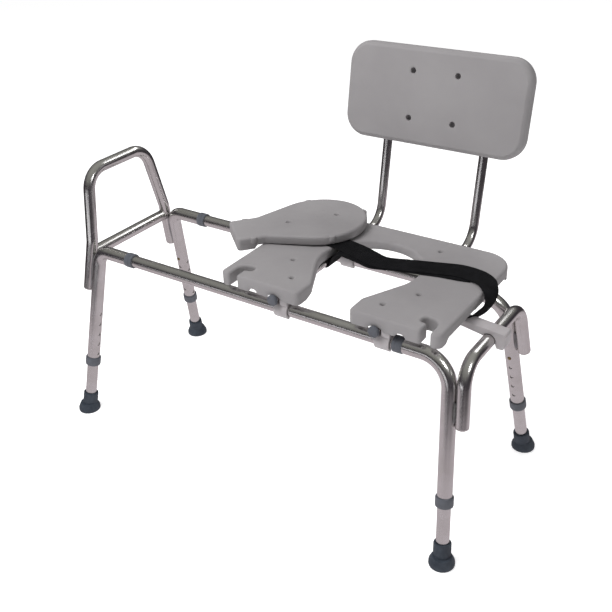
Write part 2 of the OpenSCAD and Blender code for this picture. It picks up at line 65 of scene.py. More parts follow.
# ---------- the sizes of part.scad ----------

RAIL_Z = 396
RAIL_Y = 121
LEG_TOP_X = 425
FOOT_X = 465
FOOT_Y = 200
LEG_D = 28.6
RAIL_D = 25.4
WALL = 1.5
COLLAR_X = {-1: 330, 1: 325}
LEG_BEND = {-1: 30, 1: 60}
LEG_TUBE = 281
END_DROP = {-1: 97, 1: 120}
END_BEND = 50
WELD_RUN = {-1: (12, 92), 1: (74, 114)}
FIRST_HOLE = 151.4
ROW_RISE = 14
BUTTON_DOWN = FIRST_HOLE - ROW_RISE
PITCH = 25.4
ROW_HOLES = 5
BRACE_Z = 385
END_Z = 393
ARMREST_TOP = (-460.7, 87.2, 564)
LEAN_Y = math.atan((FOOT_Y - RAIL_Y) / RAIL_Z)
LEAN_X = math.atan((FOOT_X - LEG_TOP_X) * math.cos(LEAN_Y) / RAIL_Z)
LEG_LEN = RAIL_Z / math.cos(LEAN_Y) / math.cos(LEAN_X)
END_OFF = (LEG_D + RAIL_D) / 2 + 0.05
POST_D = 19
POST_Y = 272
POST_Z = 420.5
SEAT_X = 172
SEAT_W = 479
SEAT_FRONT = -138
SEAT_REAR = 201
SEAT_TOP = 449.05
PLATE_Z = 430.05
SKIRT_Z = 420.05
KEYHOLE_Y = 34
CHANNEL_HALF = 55
NECK_HALF = 50.5
INSERT_R = 101.5
INSERT_REACH = 189
INSERT_THICK = 20
CROSS_X = 111
POST_LEN = 345
LATCH_Y = -11
RECLINE = math.radians(10)
BACK_Y = 268
BACK_Z = 613
BACK_THICK = 28
POST_BACK = (POST_Y + (BACK_Z - POST_Z) * math.tan(RECLINE) - BACK_Y) * math.cos(RECLINE)

# ---------- mesh making ----------


def smooth(mesh, angle=35):
    """Smooth shading that keeps edges sharper than the angle."""
    for polygon in mesh.polygons:
        polygon.use_smooth = True
    mesh.set_sharp_from_angle(angle=math.radians(angle))


def make(name, verts, faces, material, body, replaces=(), uvs=None, angle=35):
    """A mesh object from points in millimetres, riding on a body."""
    mesh = bpy.data.meshes.new(name)
    mesh.from_pydata([(v[0] * MM, v[1] * MM + DEPTH, v[2] * MM) for v in verts], [], faces)
    if uvs is not None:
        layer = mesh.uv_layers.new(name="UVMap")
        for loop in mesh.loops:
            layer.data[loop.index].uv = uvs[loop.vertex_index]
    bm = bmesh.new()
    bm.from_mesh(mesh)
    bmesh.ops.remove_doubles(bm, verts=bm.verts, dist=2e-6)
    bmesh.ops.dissolve_degenerate(bm, edges=bm.edges, dist=1e-6)
    loose = [v for v in bm.verts if not v.link_faces]
    bmesh.ops.delete(bm, geom=loose, context="VERTS")
    bmesh.ops.recalc_face_normals(bm, faces=bm.faces)
    bm.to_mesh(mesh)
    bm.free()
    smooth(mesh, angle)
    mesh.materials.append(material)
    piece = bpy.data.objects.new(name, mesh)
    bpy.context.scene.collection.objects.link(piece)
    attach(piece, body)
    if replaces:
        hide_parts(*replaces)
    return piece


class Shape:
    """Points and faces that several builders add to."""

    def __init__(self):
        self.verts = []
        self.faces = []
        self.uvs = []

    def add(self, verts, faces, uvs=None):
        base = len(self.verts)
        self.verts.extend(verts)
        self.faces.extend([tuple(i + base for i in f) for f in faces])
        self.uvs.extend(uvs if uvs is not None else [(v[0] * 0.01, v[2] * 0.01) for v in verts])

    def object(self, name, material, body, replaces=(), slot=None, angle=35):
        return make(name, self.verts, self.faces, material, body, replaces, self.uvs, angle)


def bands(rows, count, closed=True):
    """The faces between rows of as many points each, whose ends meet when closed."""
    faces = []
    for k in range(rows - 1):
        for i in range(count if closed else count - 1):
            j = (i + 1) % count
            faces.append((k * count + i, k * count + j, (k + 1) * count + j, (k + 1) * count + i))
    return faces


def frame_of(axis, toward=None):
    """Two directions across an axis, the first as near as can be to the one given."""
    axis = axis.normalized()
    if toward is None:
        toward = Z if abs(axis.z) < 0.9 else X
    first = (toward - axis * toward.dot(axis)).normalized()
    return first, axis.cross(first)


def lathe(shape, origin, axis, profile, segments=48, toward=None):
    """Turns (radius, height) points round an axis. A radius of 0 closes the end."""
    axis = axis.normalized()
    a, b = frame_of(axis, toward)
    verts, rows, uvs = [], [], []
    run = 0
    for k, (r, h) in enumerate(profile):
        if k:
            run += math.dist(profile[k - 1], profile[k])
        if r < 1e-6:
            rows.append([len(verts)] * segments)
            verts.append(origin + axis * h)
            uvs.append((0.5, run * 0.01))
            continue
        rows.append(list(range(len(verts), len(verts) + segments)))
        for j in range(segments):
            t = 2 * math.pi * j / segments
            verts.append(origin + axis * h + (a * math.cos(t) + b * math.sin(t)) * r)
            uvs.append((j / segments, run * 0.01))
    faces = []
    for low, high in zip(rows, rows[1:]):
        for j in range(segments):
            n = (j + 1) % segments
            face = []
            for i in (low[j], low[n], high[n], high[j]):
                if i not in face:
                    face.append(i)
            if len(face) > 2:
                faces.append(face)
    shape.add(verts, faces, uvs)


def route(points, bends, step=6, turn_step=4):
    """Points along a bent tube's centre line, its corners rounded to their radii."""
    points = [Vector(p) for p in points]
    line = [points[0]]
    for i in range(1, len(points) - 1):
        into = (points[i] - points[i - 1]).normalized()
        out = (points[i + 1] - points[i]).normalized()
        turn = into.angle(out)
        start = points[i] - into * bends[i] * math.tan(turn / 2)
        centre = points[i] + (out - into).normalized() * bends[i] / math.cos(turn / 2)
        axis = into.cross(out).normalized()
        count = max(3, round(math.degrees(turn) / turn_step))
        line += [
            centre + Matrix.Rotation(turn * k / count, 3, axis) @ (start - centre)
            for k in range(count + 1)
        ]
    line.append(points[-1])
    dense = [line[0]]
    for a, b in zip(line, line[1:]):
        count = max(1, round((b - a).length / step))
        dense += [a.lerp(b, k / count) for k in range(1, count + 1)]
    return dense


def sweep_frames(line, across=None):
    """At each point of a line: the point, two directions across it, and the run so far."""
    out = []
    run = 0
    a = None
    for i, p in enumerate(line):
        tangent = (line[min(i + 1, len(line) - 1)] - line[max(i - 1, 0)]).normalized()
        if a is None:
            a, b = frame_of(tangent, across)
        else:
            a = (a - tangent * a.dot(tangent)).normalized()
            b = tangent.cross(a)
            run += (p - line[i - 1]).length
        out.append((p, a.copy(), b.copy(), run))
    return out


def skin(frames, radius, segments, holes, hole_r):
    """A tube's surface as verts, faces, uvs, the rings of its round holes, and its end rings.

    A hole is (row, column) of its centre. Each takes the place of six cells by six.
    """
    half = 3
    verts, uvs = [], []
    for p, a, b, run in frames:
        for j in range(segments):
            t = 2 * math.pi * j / segments
            verts.append(p + (a * math.cos(t) + b * math.sin(t)) * radius)
            uvs.append((j / segments, run * 0.01))
    skipped = set()
    for row, col in holes:
        for i in range(row - half, row + half):
            for j in range(col - half, col + half):
                skipped.add((i, j % segments))
    faces = []
    for i in range(len(frames) - 1):
        for j in range(segments):
            if (i, j) in skipped:
                continue
            n = (j + 1) % segments
            low, high = i * segments, (i + 1) * segments
            faces.append((low + j, low + n, high + n, high + j))
    rings = []
    for row, col in holes:
        edge = (
            [(-half, k) for k in range(-half, half)]
            + [(k, half) for k in range(-half, half)]
            + [(half, -k) for k in range(-half, half)]
            + [(-k, -half) for k in range(-half, half)]
        )
        p, a, b, run = frames[row]
        tangent = (frames[row + 1][0] - frames[row - 1][0]).normalized()
        step = frames[row + 1][3] - run
        width = 2 * math.pi * radius / segments
        ring = []
        for di, dj in edge:
            d = Vector((dj * width, di * step)).normalized() * hole_r
            t = 2 * math.pi * col / segments + d.x / radius
            ring.append(len(verts))
            verts.append(p + tangent * d.y + (a * math.cos(t) + b * math.sin(t)) * radius)
            uvs.append((t / (2 * math.pi), (run + d.y) * 0.01))
        outer = [(row + di) * segments + (col + dj) % segments for di, dj in edge]
        for k in range(len(edge)):
            n = (k + 1) % len(edge)
            faces.append((outer[k], outer[n], ring[n], ring[k]))
        rings.append(ring)
    last = (len(frames) - 1) * segments
    return verts, faces, uvs, rings, list(range(segments)), list(range(last, last + segments))


def tube(shape, frames, outer_r, wall, segments=48, holes=(), hole_r=4, lip=0.35):
    """A tube with a wall, softened ends, and round holes with real edges."""
    outer = skin(frames, outer_r, segments, holes, hole_r)
    inner = skin(frames, outer_r - wall, segments, holes, hole_r)
    base = len(outer[0])
    verts = outer[0] + inner[0]
    faces = list(outer[1]) + [tuple(i + base for i in reversed(f)) for f in inner[1]]
    uvs = outer[2] + inner[2]
    for ring_a, ring_b in zip(outer[3], inner[3]):
        for k in range(len(ring_a)):
            n = (k + 1) % len(ring_a)
            faces.append((ring_a[k], ring_a[n], ring_b[n] + base, ring_b[k] + base))
    for end, row in ((4, 0), (5, -1)):
        p, a, b, run = frames[row]
        near = frames[1 if row == 0 else -2][0]
        out = (p - near).normalized() * lip
        rim = []
        for j in range(segments):
            t = 2 * math.pi * j / segments
            rim.append(len(verts))
            verts.append(p + out + (a * math.cos(t) + b * math.sin(t)) * (outer_r - wall / 2))
            uvs.append((j / segments, run * 0.01))
        for j in range(segments):
            n = (j + 1) % segments
            faces.append((outer[end][j], outer[end][n], rim[n], rim[j]))
            faces.append((rim[j], rim[n], inner[end][n] + base, inner[end][j] + base))
    shape.add(verts, faces, uvs)


def rounded(corners, step=2.0):
    """A closed outline from (x, y, radius) corners, sampled closely."""
    n = len(corners)
    line = []
    for i, (x, y, r) in enumerate(corners):
        p = Vector((x, y))
        if r <= 0:
            line.append(p)
            continue
        into = (p - Vector(corners[i - 1][:2])).normalized()
        out = (Vector(corners[(i + 1) % n][:2]) - p).normalized()
        turn = into.angle(out)
        if turn < 1e-4:
            line.append(p)
            continue
        start = p - into * r * math.tan(turn / 2)
        centre = p + (out - into).normalized() * r / math.cos(turn / 2)
        sign = 1 if into.x * out.y - into.y * out.x > 0 else -1
        count = max(2, round(turn * r / step), round(math.degrees(turn) / 12))
        for k in range(count + 1):
            t = sign * turn * k / count
            d = start - centre
            line.append(
                centre
                + Vector((d.x * math.cos(t) - d.y * math.sin(t), d.x * math.sin(t) + d.y * math.cos(t)))
            )
    return line


def spaced(line, step):
    """The same closed outline with no gap between points over the step."""
    out = []
    for a, b in zip(line, line[1:] + line[:1]):
        if (b - a).length < 1e-4:
            continue
        count = max(1, math.ceil((b - a).length / step))
        out += [a.lerp(b, k / count) for k in range(count)]
    return out


def fillet(radius, steps=5):
    """(inset, drop) points of a rounded edge, from the wall to the face."""
    points = []
    for k in range(steps + 1):
        t = math.pi / 2 * k / steps
        points.append((radius * (1 - math.cos(t)), radius * (1 - math.sin(t))))
    return points


def dimple(hole_r, rim_r, depth):
    """(radius, drop) points of a dished hole, from the face down to the bore."""
    points = [(rim_r + 1.2, 0), (rim_r, 0.12)]
    for k in range(1, 6):
        t = k / 5
        points.append((rim_r + (hole_r - rim_r) * t, 0.12 + depth * t * t))
    points.append((hole_r, depth + 1.5))
    return points


def fill(shape, loops, heights, place, upward):
    """Fills a flat face between an outline and the circles inside it."""
    points, edges = [], []
    for loop in loops:
        base = len(points)
        points += [Vector(p) for p in loop]
        edges += [(base + k, base + (k + 1) % len(loop)) for k in range(len(loop))]
    made = geometry.delaunay_2d_cdt(points, edges, [], 1, 1e-4)
    new_points, _, triangles = made[0], made[1], made[2]
    outline = loops[0]
    circles = []
    for loop in loops[1:]:
        centre = sum((Vector(p) for p in loop), Vector((0, 0))) / len(loop)
        circles.append((centre, (Vector(loop[0]) - centre).length))

    def inside(p):
        hit = False
        for a, b in zip(outline, outline[1:] + outline[:1]):
            if (a[1] > p.y) != (b[1] > p.y):
                if p.x < (b[0] - a[0]) * (p.y - a[1]) / (b[1] - a[1]) + a[0]:
                    hit = not hit
        return hit

    kept = []
    for tri in triangles:
        c = (new_points[tri[0]] + new_points[tri[1]] + new_points[tri[2]]) / 3
        if inside(c) and not any((c - m).length < r * 0.993 for m, r in circles):
            kept.append(tri if upward else tuple(reversed(tri)))
    shape.add([place(p.x, p.y, heights) for p in new_points], kept)


def moulded(shape, outline, top, low, place, rim, foot, holes=(), plate=None, skirt=8):
    """A moulded plate: rounded edges, dished holes, and an optional hollow underside.

    low is the height of the wall's lower edge, or a function of the outline's point. plate is the
    height of the underside inside the skirt.
    """
    n = len(outline)
    turning = sum(a.x * b.y - a.y * b.x for a, b in zip(outline, outline[1:] + outline[:1]))
    if turning < 0:
        outline = list(reversed(outline))
    inward = []
    for i in range(n):
        d = (outline[(i + 1) % n] - outline[i - 1]).normalized()
        inward.append(Vector((-d.y, d.x)))
    lows = [low(p) if callable(low) else low for p in outline]
    rings = []

    def ring(inset, heights):
        pts = [outline[i] + inward[i] * inset for i in range(n)]
        rings.append([place(p.x, p.y, h) for p, h in zip(pts, heights)])
        return pts

    if plate is None:
        under = ring(foot[-1][0] + 0.6, lows)
    else:
        under = ring(skirt + 0.6, [plate] * n)
        ring(skirt, [plate] * n)
        ring(skirt, [min(h + 0.6, plate) for h in lows])
        ring(skirt - 0.6, [min(h, plate - 0.01) for h in lows])
    for inset, rise in reversed(foot):
        ring(inset, [h + rise for h in lows])
    for inset, drop in rim:
        ring(inset, [top - drop] * n)
    over = ring(rim[-1][0] + 0.6, [top] * n)
    shape.add([p for r in rings for p in r], bands(len(rings), n))
    turns = [2 * math.pi * k / 32 for k in range(32)]
    circle = [(math.cos(t), math.sin(t)) for t in turns]
    floor = plate if plate is not None else (low if not callable(low) else PLATE_Z)
    top_loops, low_loops = [over], [under]
    for hx, hy, profile in holes:
        loops = [[(hx + r * c, hy + r * s) for c, s in circle] for r, _ in profile]
        heights = [top - d for _, d in profile]
        top_loops.append([Vector(p) for p in loops[0]])
        low_loops.append([Vector(p) for p in loops[-1]])
        loops.append(loops[-1])
        heights.append(floor)
        bore = [place(p[0], p[1], h) for loop, h in zip(loops, heights) for p in loop]
        shape.add(bore, [tuple(reversed(f)) for f in bands(len(loops), 32)])
    fill(shape, top_loops, top, place, True)
    fill(shape, low_loops, floor, place, False)


# ---------- materials ----------


def put(node, **values):
    """Sets a node's inputs. An underscore stands for a space in an input's name."""
    for name, value in values.items():
        node.inputs[name.replace("_", " ")].default_value = value


class Look:
    """A node material with short calls for the usual pieces of a procedural finish."""

    def __init__(self, name, color, roughness, metallic=0.0, sheen=0.0, specular=0.5):
        self.material = bpy.data.materials.new(name)
        self.material.use_nodes = True
        self.nodes = self.material.node_tree.nodes
        self.links = self.material.node_tree.links
        self.shader = self.nodes["Principled BSDF"]
        self.coords = self.nodes.new("ShaderNodeTexCoord")
        put(self.shader, Base_Color=(*color, 1), Roughness=roughness, Metallic=metallic)
        put(self.shader, Sheen_Weight=sheen, Specular_IOR_Level=specular)
        self.normal = None

    def mapped(self, scale, source="Object"):
        """Texture coordinates stretched by a scale along each axis."""
        node = self.nodes.new("ShaderNodeMapping")
        put(node, Scale=scale)
        self.links.new(self.coords.outputs[source], node.inputs["Vector"])
        return node.outputs["Vector"]

    def noise(self, scale, detail=4.0, rough=0.5, stretch=(1, 1, 1), source="Object"):
        node = self.nodes.new("ShaderNodeTexNoise")
        put(node, Scale=scale, Detail=detail, Roughness=rough)
        self.links.new(self.mapped(stretch, source), node.inputs["Vector"])
        return node.outputs["Fac"]

    def cells(self, scale):
        node = self.nodes.new("ShaderNodeTexVoronoi")
        node.feature = "SMOOTH_F1"
        put(node, Scale=scale)
        self.links.new(self.mapped((1, 1, 1)), node.inputs["Vector"])
        return node.outputs["Distance"]

    def threads(self, direction, scale, distortion):
        """Even bands along one direction of the surface's own coordinates."""
        node = self.nodes.new("ShaderNodeTexWave")
        node.bands_direction = direction
        put(node, Scale=scale, Distortion=distortion)
        self.links.new(self.mapped((1, 1, 1), "UV"), node.inputs["Vector"])
        return node.outputs["Fac"]

    def ramp(self, value, stops):
        """A colour ramp through (position, colour) stops."""
        node = self.nodes.new("ShaderNodeValToRGB")
        ramp = node.color_ramp
        while len(ramp.elements) < len(stops):
            ramp.elements.new(0.5)
        for element, (position, color) in zip(ramp.elements, stops):
            element.position = position
            element.color = (*color, 1)
        self.links.new(value, node.inputs["Fac"])
        return node.outputs["Color"]

    def spread(self, value, low, high, from_low=0.0, from_high=1.0):
        node = self.nodes.new("ShaderNodeMapRange")
        put(node, From_Min=from_low, From_Max=from_high, To_Min=low, To_Max=high)
        self.links.new(value, node.inputs["Value"])
        return node.outputs["Result"]

    def color(self, output):
        self.links.new(output, self.shader.inputs["Base Color"])

    def roughness(self, output):
        self.links.new(output, self.shader.inputs["Roughness"])

    def bump(self, height, strength, distance):
        """Adds a layer of bump over the ones before it."""
        node = self.nodes.new("ShaderNodeBump")
        put(node, Strength=strength, Distance=distance)
        self.links.new(height, node.inputs["Height"])
        if self.normal is not None:
            self.links.new(self.normal, node.inputs["Normal"])
        self.normal = node.outputs["Normal"]
        self.links.new(self.normal, self.shader.inputs["Normal"])


def grey_plastic(name):
    """Blow-moulded grey plastic with a fine leather grain and faint scuffs."""
    look = Look(name, (0.265, 0.255, 0.26), 0.5, specular=0.4)
    tone = look.noise(9, 3, 0.5)
    look.color(look.ramp(tone, [(0.3, (0.255, 0.243, 0.249)), (0.7, (0.285, 0.273, 0.278))]))
    look.roughness(look.spread(look.noise(60, 3), 0.42, 0.62))
    look.bump(look.cells(620), 0.25, 0.0004)
    look.bump(look.noise(1500, 2), 0.12, 0.0002)
    look.bump(look.noise(14, 2), 0.12, 0.003)
    return look.material


def slate_plastic(name):
    """Injection-moulded slate-blue plastic."""
    look = Look(name, (0.095, 0.105, 0.125), 0.45)
    tone = look.noise(40, 3)
    look.color(look.ramp(tone, [(0.3, (0.078, 0.084, 0.1)), (0.7, (0.1, 0.107, 0.126))]))
    look.roughness(look.spread(look.noise(200, 3), 0.38, 0.56))
    look.bump(look.noise(700, 3), 0.12, 0.0003)
    return look.material


def foot_rubber(name):
    """Dull moulded rubber, dusty where it is handled."""
    look = Look(name, (0.055, 0.07, 0.09), 0.62, specular=0.35)
    tone = look.noise(55, 5, 0.6)
    look.color(look.ramp(tone, [(0.3, (0.028, 0.036, 0.05)), (0.75, (0.05, 0.062, 0.08))]))
    look.roughness(look.spread(look.noise(120, 4), 0.5, 0.75))
    look.bump(look.noise(900, 3), 0.2, 0.0003)
    return look.material


def nylon(name):
    """Natural white nylon, a little waxy."""
    look = Look(name, (0.74, 0.69, 0.69), 0.42)
    tone = look.noise(30, 3)
    look.color(look.ramp(tone, [(0.3, (0.36, 0.335, 0.345)), (0.7, (0.42, 0.395, 0.405))]))
    look.roughness(look.spread(look.noise(150, 3), 0.34, 0.52))
    look.bump(look.noise(500, 2), 0.1, 0.0003)
    put(look.shader, Subsurface_Weight=0.08, Subsurface_Radius=(0.004, 0.003, 0.0025))
    return look.material


def aluminium(name, fine=1.0):
    """Polished drawn tube: long faint lines, patches of haze and small scratches."""
    look = Look(name, (0.72, 0.71, 0.70), 0.2, metallic=1.0)
    lines = look.noise(90 * fine, 4, 0.6, (9, 0.35, 1), "UV")
    patches = look.noise(22, 4, 0.6)
    look.color(look.ramp(patches, [(0.25, (0.66, 0.645, 0.63)), (0.75, (0.78, 0.77, 0.765))]))
    look.roughness(look.spread(patches, 0.16, 0.28))
    look.bump(lines, 0.05, 0.0003)
    look.bump(look.noise(60, 3), 0.05, 0.001)
    return look.material


def steel(name):
    """Plain zinc-plated steel."""
    look = Look(name, (0.45, 0.45, 0.46), 0.35, metallic=1.0)
    look.roughness(look.spread(look.noise(300, 4), 0.25, 0.5))
    look.bump(look.noise(900, 3), 0.1, 0.0002)
    return look.material


def brass(name):
    """A worn, darkened brass button."""
    look = Look(name, (0.42, 0.30, 0.13), 0.35, metallic=1.0)
    tone = look.noise(220, 4, 0.6)
    look.color(look.ramp(tone, [(0.35, (0.16, 0.11, 0.06)), (0.65, (0.5, 0.37, 0.17))]))
    look.roughness(look.spread(tone, 0.5, 0.25))
    look.bump(look.noise(900, 3), 0.1, 0.0002)
    return look.material


def webbing(name):
    """Black woven webbing: ribs across its width, crossed by fine warp threads."""
    look = Look(name, (0.010, 0.010, 0.012), 0.85, sheen=0.02, specular=0.15)
    put(look.shader, Sheen_Roughness=0.5)
    ribs = look.threads("X", 60, 0.6)
    warp = look.threads("Y", 34, 0.8)
    tone = look.noise(70, 4, 0.6)
    look.color(look.ramp(tone, [(0.3, (0.003, 0.003, 0.004)), (0.8, (0.009, 0.009, 0.011))]))
    look.bump(ribs, 0.6, 0.0005)
    look.bump(warp, 0.4, 0.0003)
    return look.material


TUBE = aluminium("polished_tube")
POST = aluminium("polished_post", 1.3)
GREY = grey_plastic("grey_plastic")
SLATE = slate_plastic("slate_plastic")
RUBBER = foot_rubber("foot_rubber")
NYLON = nylon("white_nylon")
STEEL = steel("zinc_steel")
BRASS = brass("worn_brass")
WEBBING = webbing("black_webbing")

# ---------- the frame's places ----------


def leg_axes(side_x, side_y):
    """A leg's top corner, its downward direction, and the two directions across it."""
    top = Vector((side_x * LEG_TOP_X, side_y * RAIL_Y, RAIL_Z))
    turn = Matrix.Rotation(side_y * LEAN_Y, 3, "X")
    down = turn @ Vector((side_x * math.sin(LEAN_X), 0, -math.cos(LEAN_X)))
    out = turn @ Vector((side_x * math.cos(LEAN_X), 0, math.sin(LEAN_X)))
    across = turn @ Y
    return top, down, out, across


def end_corner(side_x, side_y, z):
    """Where an end tube's centre line, beside the leg, is at a height."""
    top, down, out, _ = leg_axes(side_x, side_y)
    start = top + out * END_OFF
    return start + down * ((start.z - z) / -down.z)


def rows(start, stop, step, holes, cell):
    """Positions along a straight tube, with seven even rows round each hole."""
    marks = {round(start, 4), round(stop, 4)}
    centres = []
    for h in holes:
        marks.update(round(h + k * cell, 4) for k in range(-3, 4))
        centres.append(round(h, 4))
    ordered = sorted(marks)
    out = [ordered[0]]
    for a, b in zip(ordered, ordered[1:]):
        count = max(1, math.ceil((b - a) / step))
        out += [a + (b - a) * k / count for k in range(1, count + 1)]
    index = [min(range(len(out)), key=lambda i: abs(out[i] - c)) for c in centres]
    return out, index


# ---------- frame tubes ----------


def make_rails():
    """The two rails, whose ends are inside the legs' sleeves."""
    for side_y, name in ((-1, "front_rail"), (1, "rear_rail")):
        shape = Shape()
        left = (-COLLAR_X[-1] - 45, side_y * RAIL_Y, RAIL_Z)
        right = (COLLAR_X[1] + 20, side_y * RAIL_Y, RAIL_Z)
        line = route([left, right], [0, 0], 24)
        tube(shape, sweep_frames(line, Z), RAIL_D / 2, WALL)
        shape.object("tube_" + name, TUBE, "root", [name], "tube")


def make_leg(side_x, side_y, name):
    """A leg's sleeve, bend and upper tube, with two rows of adjustment holes."""
    segments = 48
    top, down, out, across = leg_axes(side_x, side_y)
    sleeve = LEG_TOP_X - COLLAR_X[side_x]
    bend = LEG_BEND[side_x]
    reach = bend * math.tan((math.pi / 2 - LEAN_X) / 2)
    start = top - X * side_x * sleeve
    bent = route([start, top, top + down * (reach + 0.5)], [0, bend, 0], 12, 3)
    cell = math.pi * LEG_D / segments
    across_row = [BUTTON_DOWN + k * PITCH for k in range(ROW_HOLES)]
    along_row = [FIRST_HOLE + k * PITCH for k in range(ROW_HOLES)]
    runs, index = rows(reach + 0.5, LEG_TUBE, 12, across_row + along_row, cell)
    line = bent + [top + down * r for r in runs[1:]]
    frames = sweep_frames(line, across)
    base = len(bent) - 1
    _, a, b, _ = frames[-1]

    def column(direction):
        return round(math.atan2(direction.dot(b), direction.dot(a)) / (2 * math.pi) * segments) % segments

    holes = [(base + i, column(across * -side_y)) for i in index[:ROW_HOLES]]
    holes += [(base + i, column(-out)) for i in index[ROW_HOLES:]]
    shape = Shape()
    tube(shape, frames, LEG_D / 2, WALL, segments, holes, 4.0)
    shape.object("leg_tube_" + name, TUBE, "root", ["leg_" + name], "tube")


def make_extension(side_x, side_y, name):
    """The tube that telescopes inside a leg, with the hole for its button."""
    segments = 48
    top, down, _, across = leg_axes(side_x, side_y)
    cell = math.pi * RAIL_D / segments
    runs, index = rows(BUTTON_DOWN - 42, LEG_LEN - 10, 12, [BUTTON_DOWN], cell)
    frames = sweep_frames([top + down * r for r in runs], across * -side_y)
    shape = Shape()
    tube(shape, frames, RAIL_D / 2, WALL, segments, [(index[0], 0)], 4.0)
    body = "extension_" + name
    shape.object("extension_tube_" + name, TUBE, body, [body], "tube")


def beside_leg(side_x, side_y, run):
    """A point on an end tube's centre line, as far down the leg as the run."""
    top, down, out, _ = leg_axes(side_x, side_y)
    return top + out * END_OFF + down * run


def make_armrest():
    """The armrest's hoop and the brace across its legs, with its weld beads."""
    x, y, z = ARMREST_TOP
    low = [beside_leg(-1, s, END_DROP[-1]) for s in (-1, 1)]
    kink = [beside_leg(-1, s, -12.6) for s in (-1, 1)]
    points = [low[0], kink[0], (x, -y, z), (x, y, z), kink[1], low[1]]
    shape = Shape()
    bends = [0, 60, END_BEND, END_BEND, 60, 0]
    tube(shape, sweep_frames(route(points, bends, 10, 3), X), RAIL_D / 2, WALL)
    shape.object("armrest_bar", TUBE, "root", ["armrest_tube"], "tube")
    a, b = end_corner(-1, -1, BRACE_Z), end_corner(-1, 1, BRACE_Z)
    inset = Vector((0, 9, 0))
    shape = Shape()
    tube(shape, sweep_frames(route([a + inset, b - inset], [0, 0], 12), X), RAIL_D / 2, WALL)
    for p, s in ((a, -1), (b, 1)):
        weld(shape, saddle(p, Vector((0, -s, 0)), RAIL_D / 2), 1.5)
    shape.object("armrest_cross_brace", TUBE, "root", ["armrest_brace"], "tube")


def make_end_tube():
    """The low loop at the bench's right end."""
    low = [beside_leg(1, s, END_DROP[1]) for s in (-1, 1)]
    points = [low[0], end_corner(1, -1, END_Z), end_corner(1, 1, END_Z), low[1]]
    shape = Shape()
    line = route(points, [0, END_BEND, END_BEND, 0], 10, 3)
    tube(shape, sweep_frames(line, X), RAIL_D / 2, WALL)
    shape.object("end_loop", TUBE, "root", ["end_tube"], "tube")


def saddle(middle, axis, radius, count=48):
    """The closed line where a tube along axis meets one as thick that crosses it."""
    up, side = frame_of(axis)
    points = []
    for k in range(count):
        t = 2 * math.pi * k / count
        lift = math.sqrt(max(radius**2 - (radius * math.sin(t)) ** 2, 0))
        points.append(middle + side * radius * math.sin(t) + up * radius * math.cos(t) + axis * lift)
    return points


def weld(shape, points, radius, closed=True, seed=0.0):
    """A rippled weld bead along a line of points."""
    n = len(points)
    segments = 8
    verts, uvs = [], []
    for i, p in enumerate(points):
        if closed:
            tangent = (points[(i + 1) % n] - points[i - 1]).normalized()
        else:
            tangent = (points[min(i + 1, n - 1)] - points[max(i - 1, 0)]).normalized()
        a, b = frame_of(tangent)
        ripple = 1 + 0.22 * math.sin(i * 2.2 + seed) + 0.1 * math.sin(i * 5.1 + seed)
        end = 1.0 if closed else max(0.15, math.sin(math.pi * (i + 0.5) / n) ** 0.5)
        for j in range(segments):
            t = 2 * math.pi * j / segments
            verts.append(p + (a * math.cos(t) + b * math.sin(t)) * radius * ripple * end)
            uvs.append((j / segments, i * 0.02))
    faces = bands(n, segments)
    last = (n - 1) * segments
    if closed:
        faces += [(last + j, last + (j + 1) % segments, (j + 1) % segments, j) for j in range(segments)]
    else:
        faces.append(tuple(reversed(range(segments))))
        faces.append(tuple(range(last, last + segments)))
    shape.add(verts, faces, uvs)


def make_leg_welds():
    """Beads in the grooves where the end tubes lie against the legs."""
    for side_x, side_y, name in SIDES:
        top, down, out, across = leg_axes(side_x, side_y)
        touch = top + out * (LEG_D / 2)
        shape = Shape()
        first, last = WELD_RUN[side_x]
        for side, seed in ((-1, 0), (1, 1.7)):
            start = touch + across * side * 6.6
            line = [start + down * (first + (last - first) * k / 40) for k in range(41)]
            weld(shape, line, 2.9, False, seed + side_y)
        shape.object("weld_" + name, STEEL, "root")


def dome(radius, start, rise, count):
    """(radius, height) points of a rounded end, without its first."""
    turns = [math.pi / 2 * k / count for k in range(1, count)]
    return [(radius * math.cos(a), start + rise * math.sin(a)) for a in turns] + [(0, start + rise)]


def make_rail_collars():
    """The rings where the rails enter the legs' sleeves, and the screws under the sleeves."""
    collars, screws = Shape(), Shape()
    for side_x, side_y, _ in SIDES:
        p = Vector((side_x * COLLAR_X[side_x], side_y * RAIL_Y, RAIL_Z))
        out = X * side_x
        rail_r, sleeve_r = RAIL_D / 2 + 0.02, LEG_D / 2 + 0.02
        ring = [(rail_r, -10), (14.6, -10), (15.4, -9.2), (15.8, -8), (15.8, -3.4), (15.3, -3)]
        ring += [(15.3, -1.4), (15.8, -1), (15.8, 8.2), (15.3, 9.4), (14.8, 10), (sleeve_r, 10)]
        lathe(collars, p, out, ring + [(sleeve_r, 0), (rail_r, 0), ring[0]])
        head = p + out * 17 - Z * (LEG_D / 2 - 0.4)
        lathe(screws, head, -Z, [(3.5, -0.6), (3.5, 0.8), (3.1, 1.7), (2.2, 2.4), (0, 2.6)], 24)
    collars.object("rail_collar_rings", SLATE, "root", ["rail_collars"], "slate_plastic")
    screws.object("sleeve_screws", STEEL, "root", ["rail_screws"], "steel")


def make_leg_collars():
    """The rings at the legs' lower ends, round the extensions."""
    collars = Shape()
    bore, sleeve_r = 12.78, LEG_D / 2 + 0.02
    ring = [(bore, 0), (14.2, 0), (15.8, 0.7), (16.9, 2.0), (17.25, 3.6), (17.25, 19), (16.9, 20.2)]
    ring += [(16.2, 21), (sleeve_r, 21), (sleeve_r, 4), (bore, 4), (bore, 0)]
    for side_x, side_y, _ in SIDES:
        top, down, _, _ = leg_axes(side_x, side_y)
        lathe(collars, top + down * (LEG_TUBE + 4), -down, ring)
    collars.object("leg_collar_rings", SLATE, "root", ["leg_collars"], "slate_plastic")


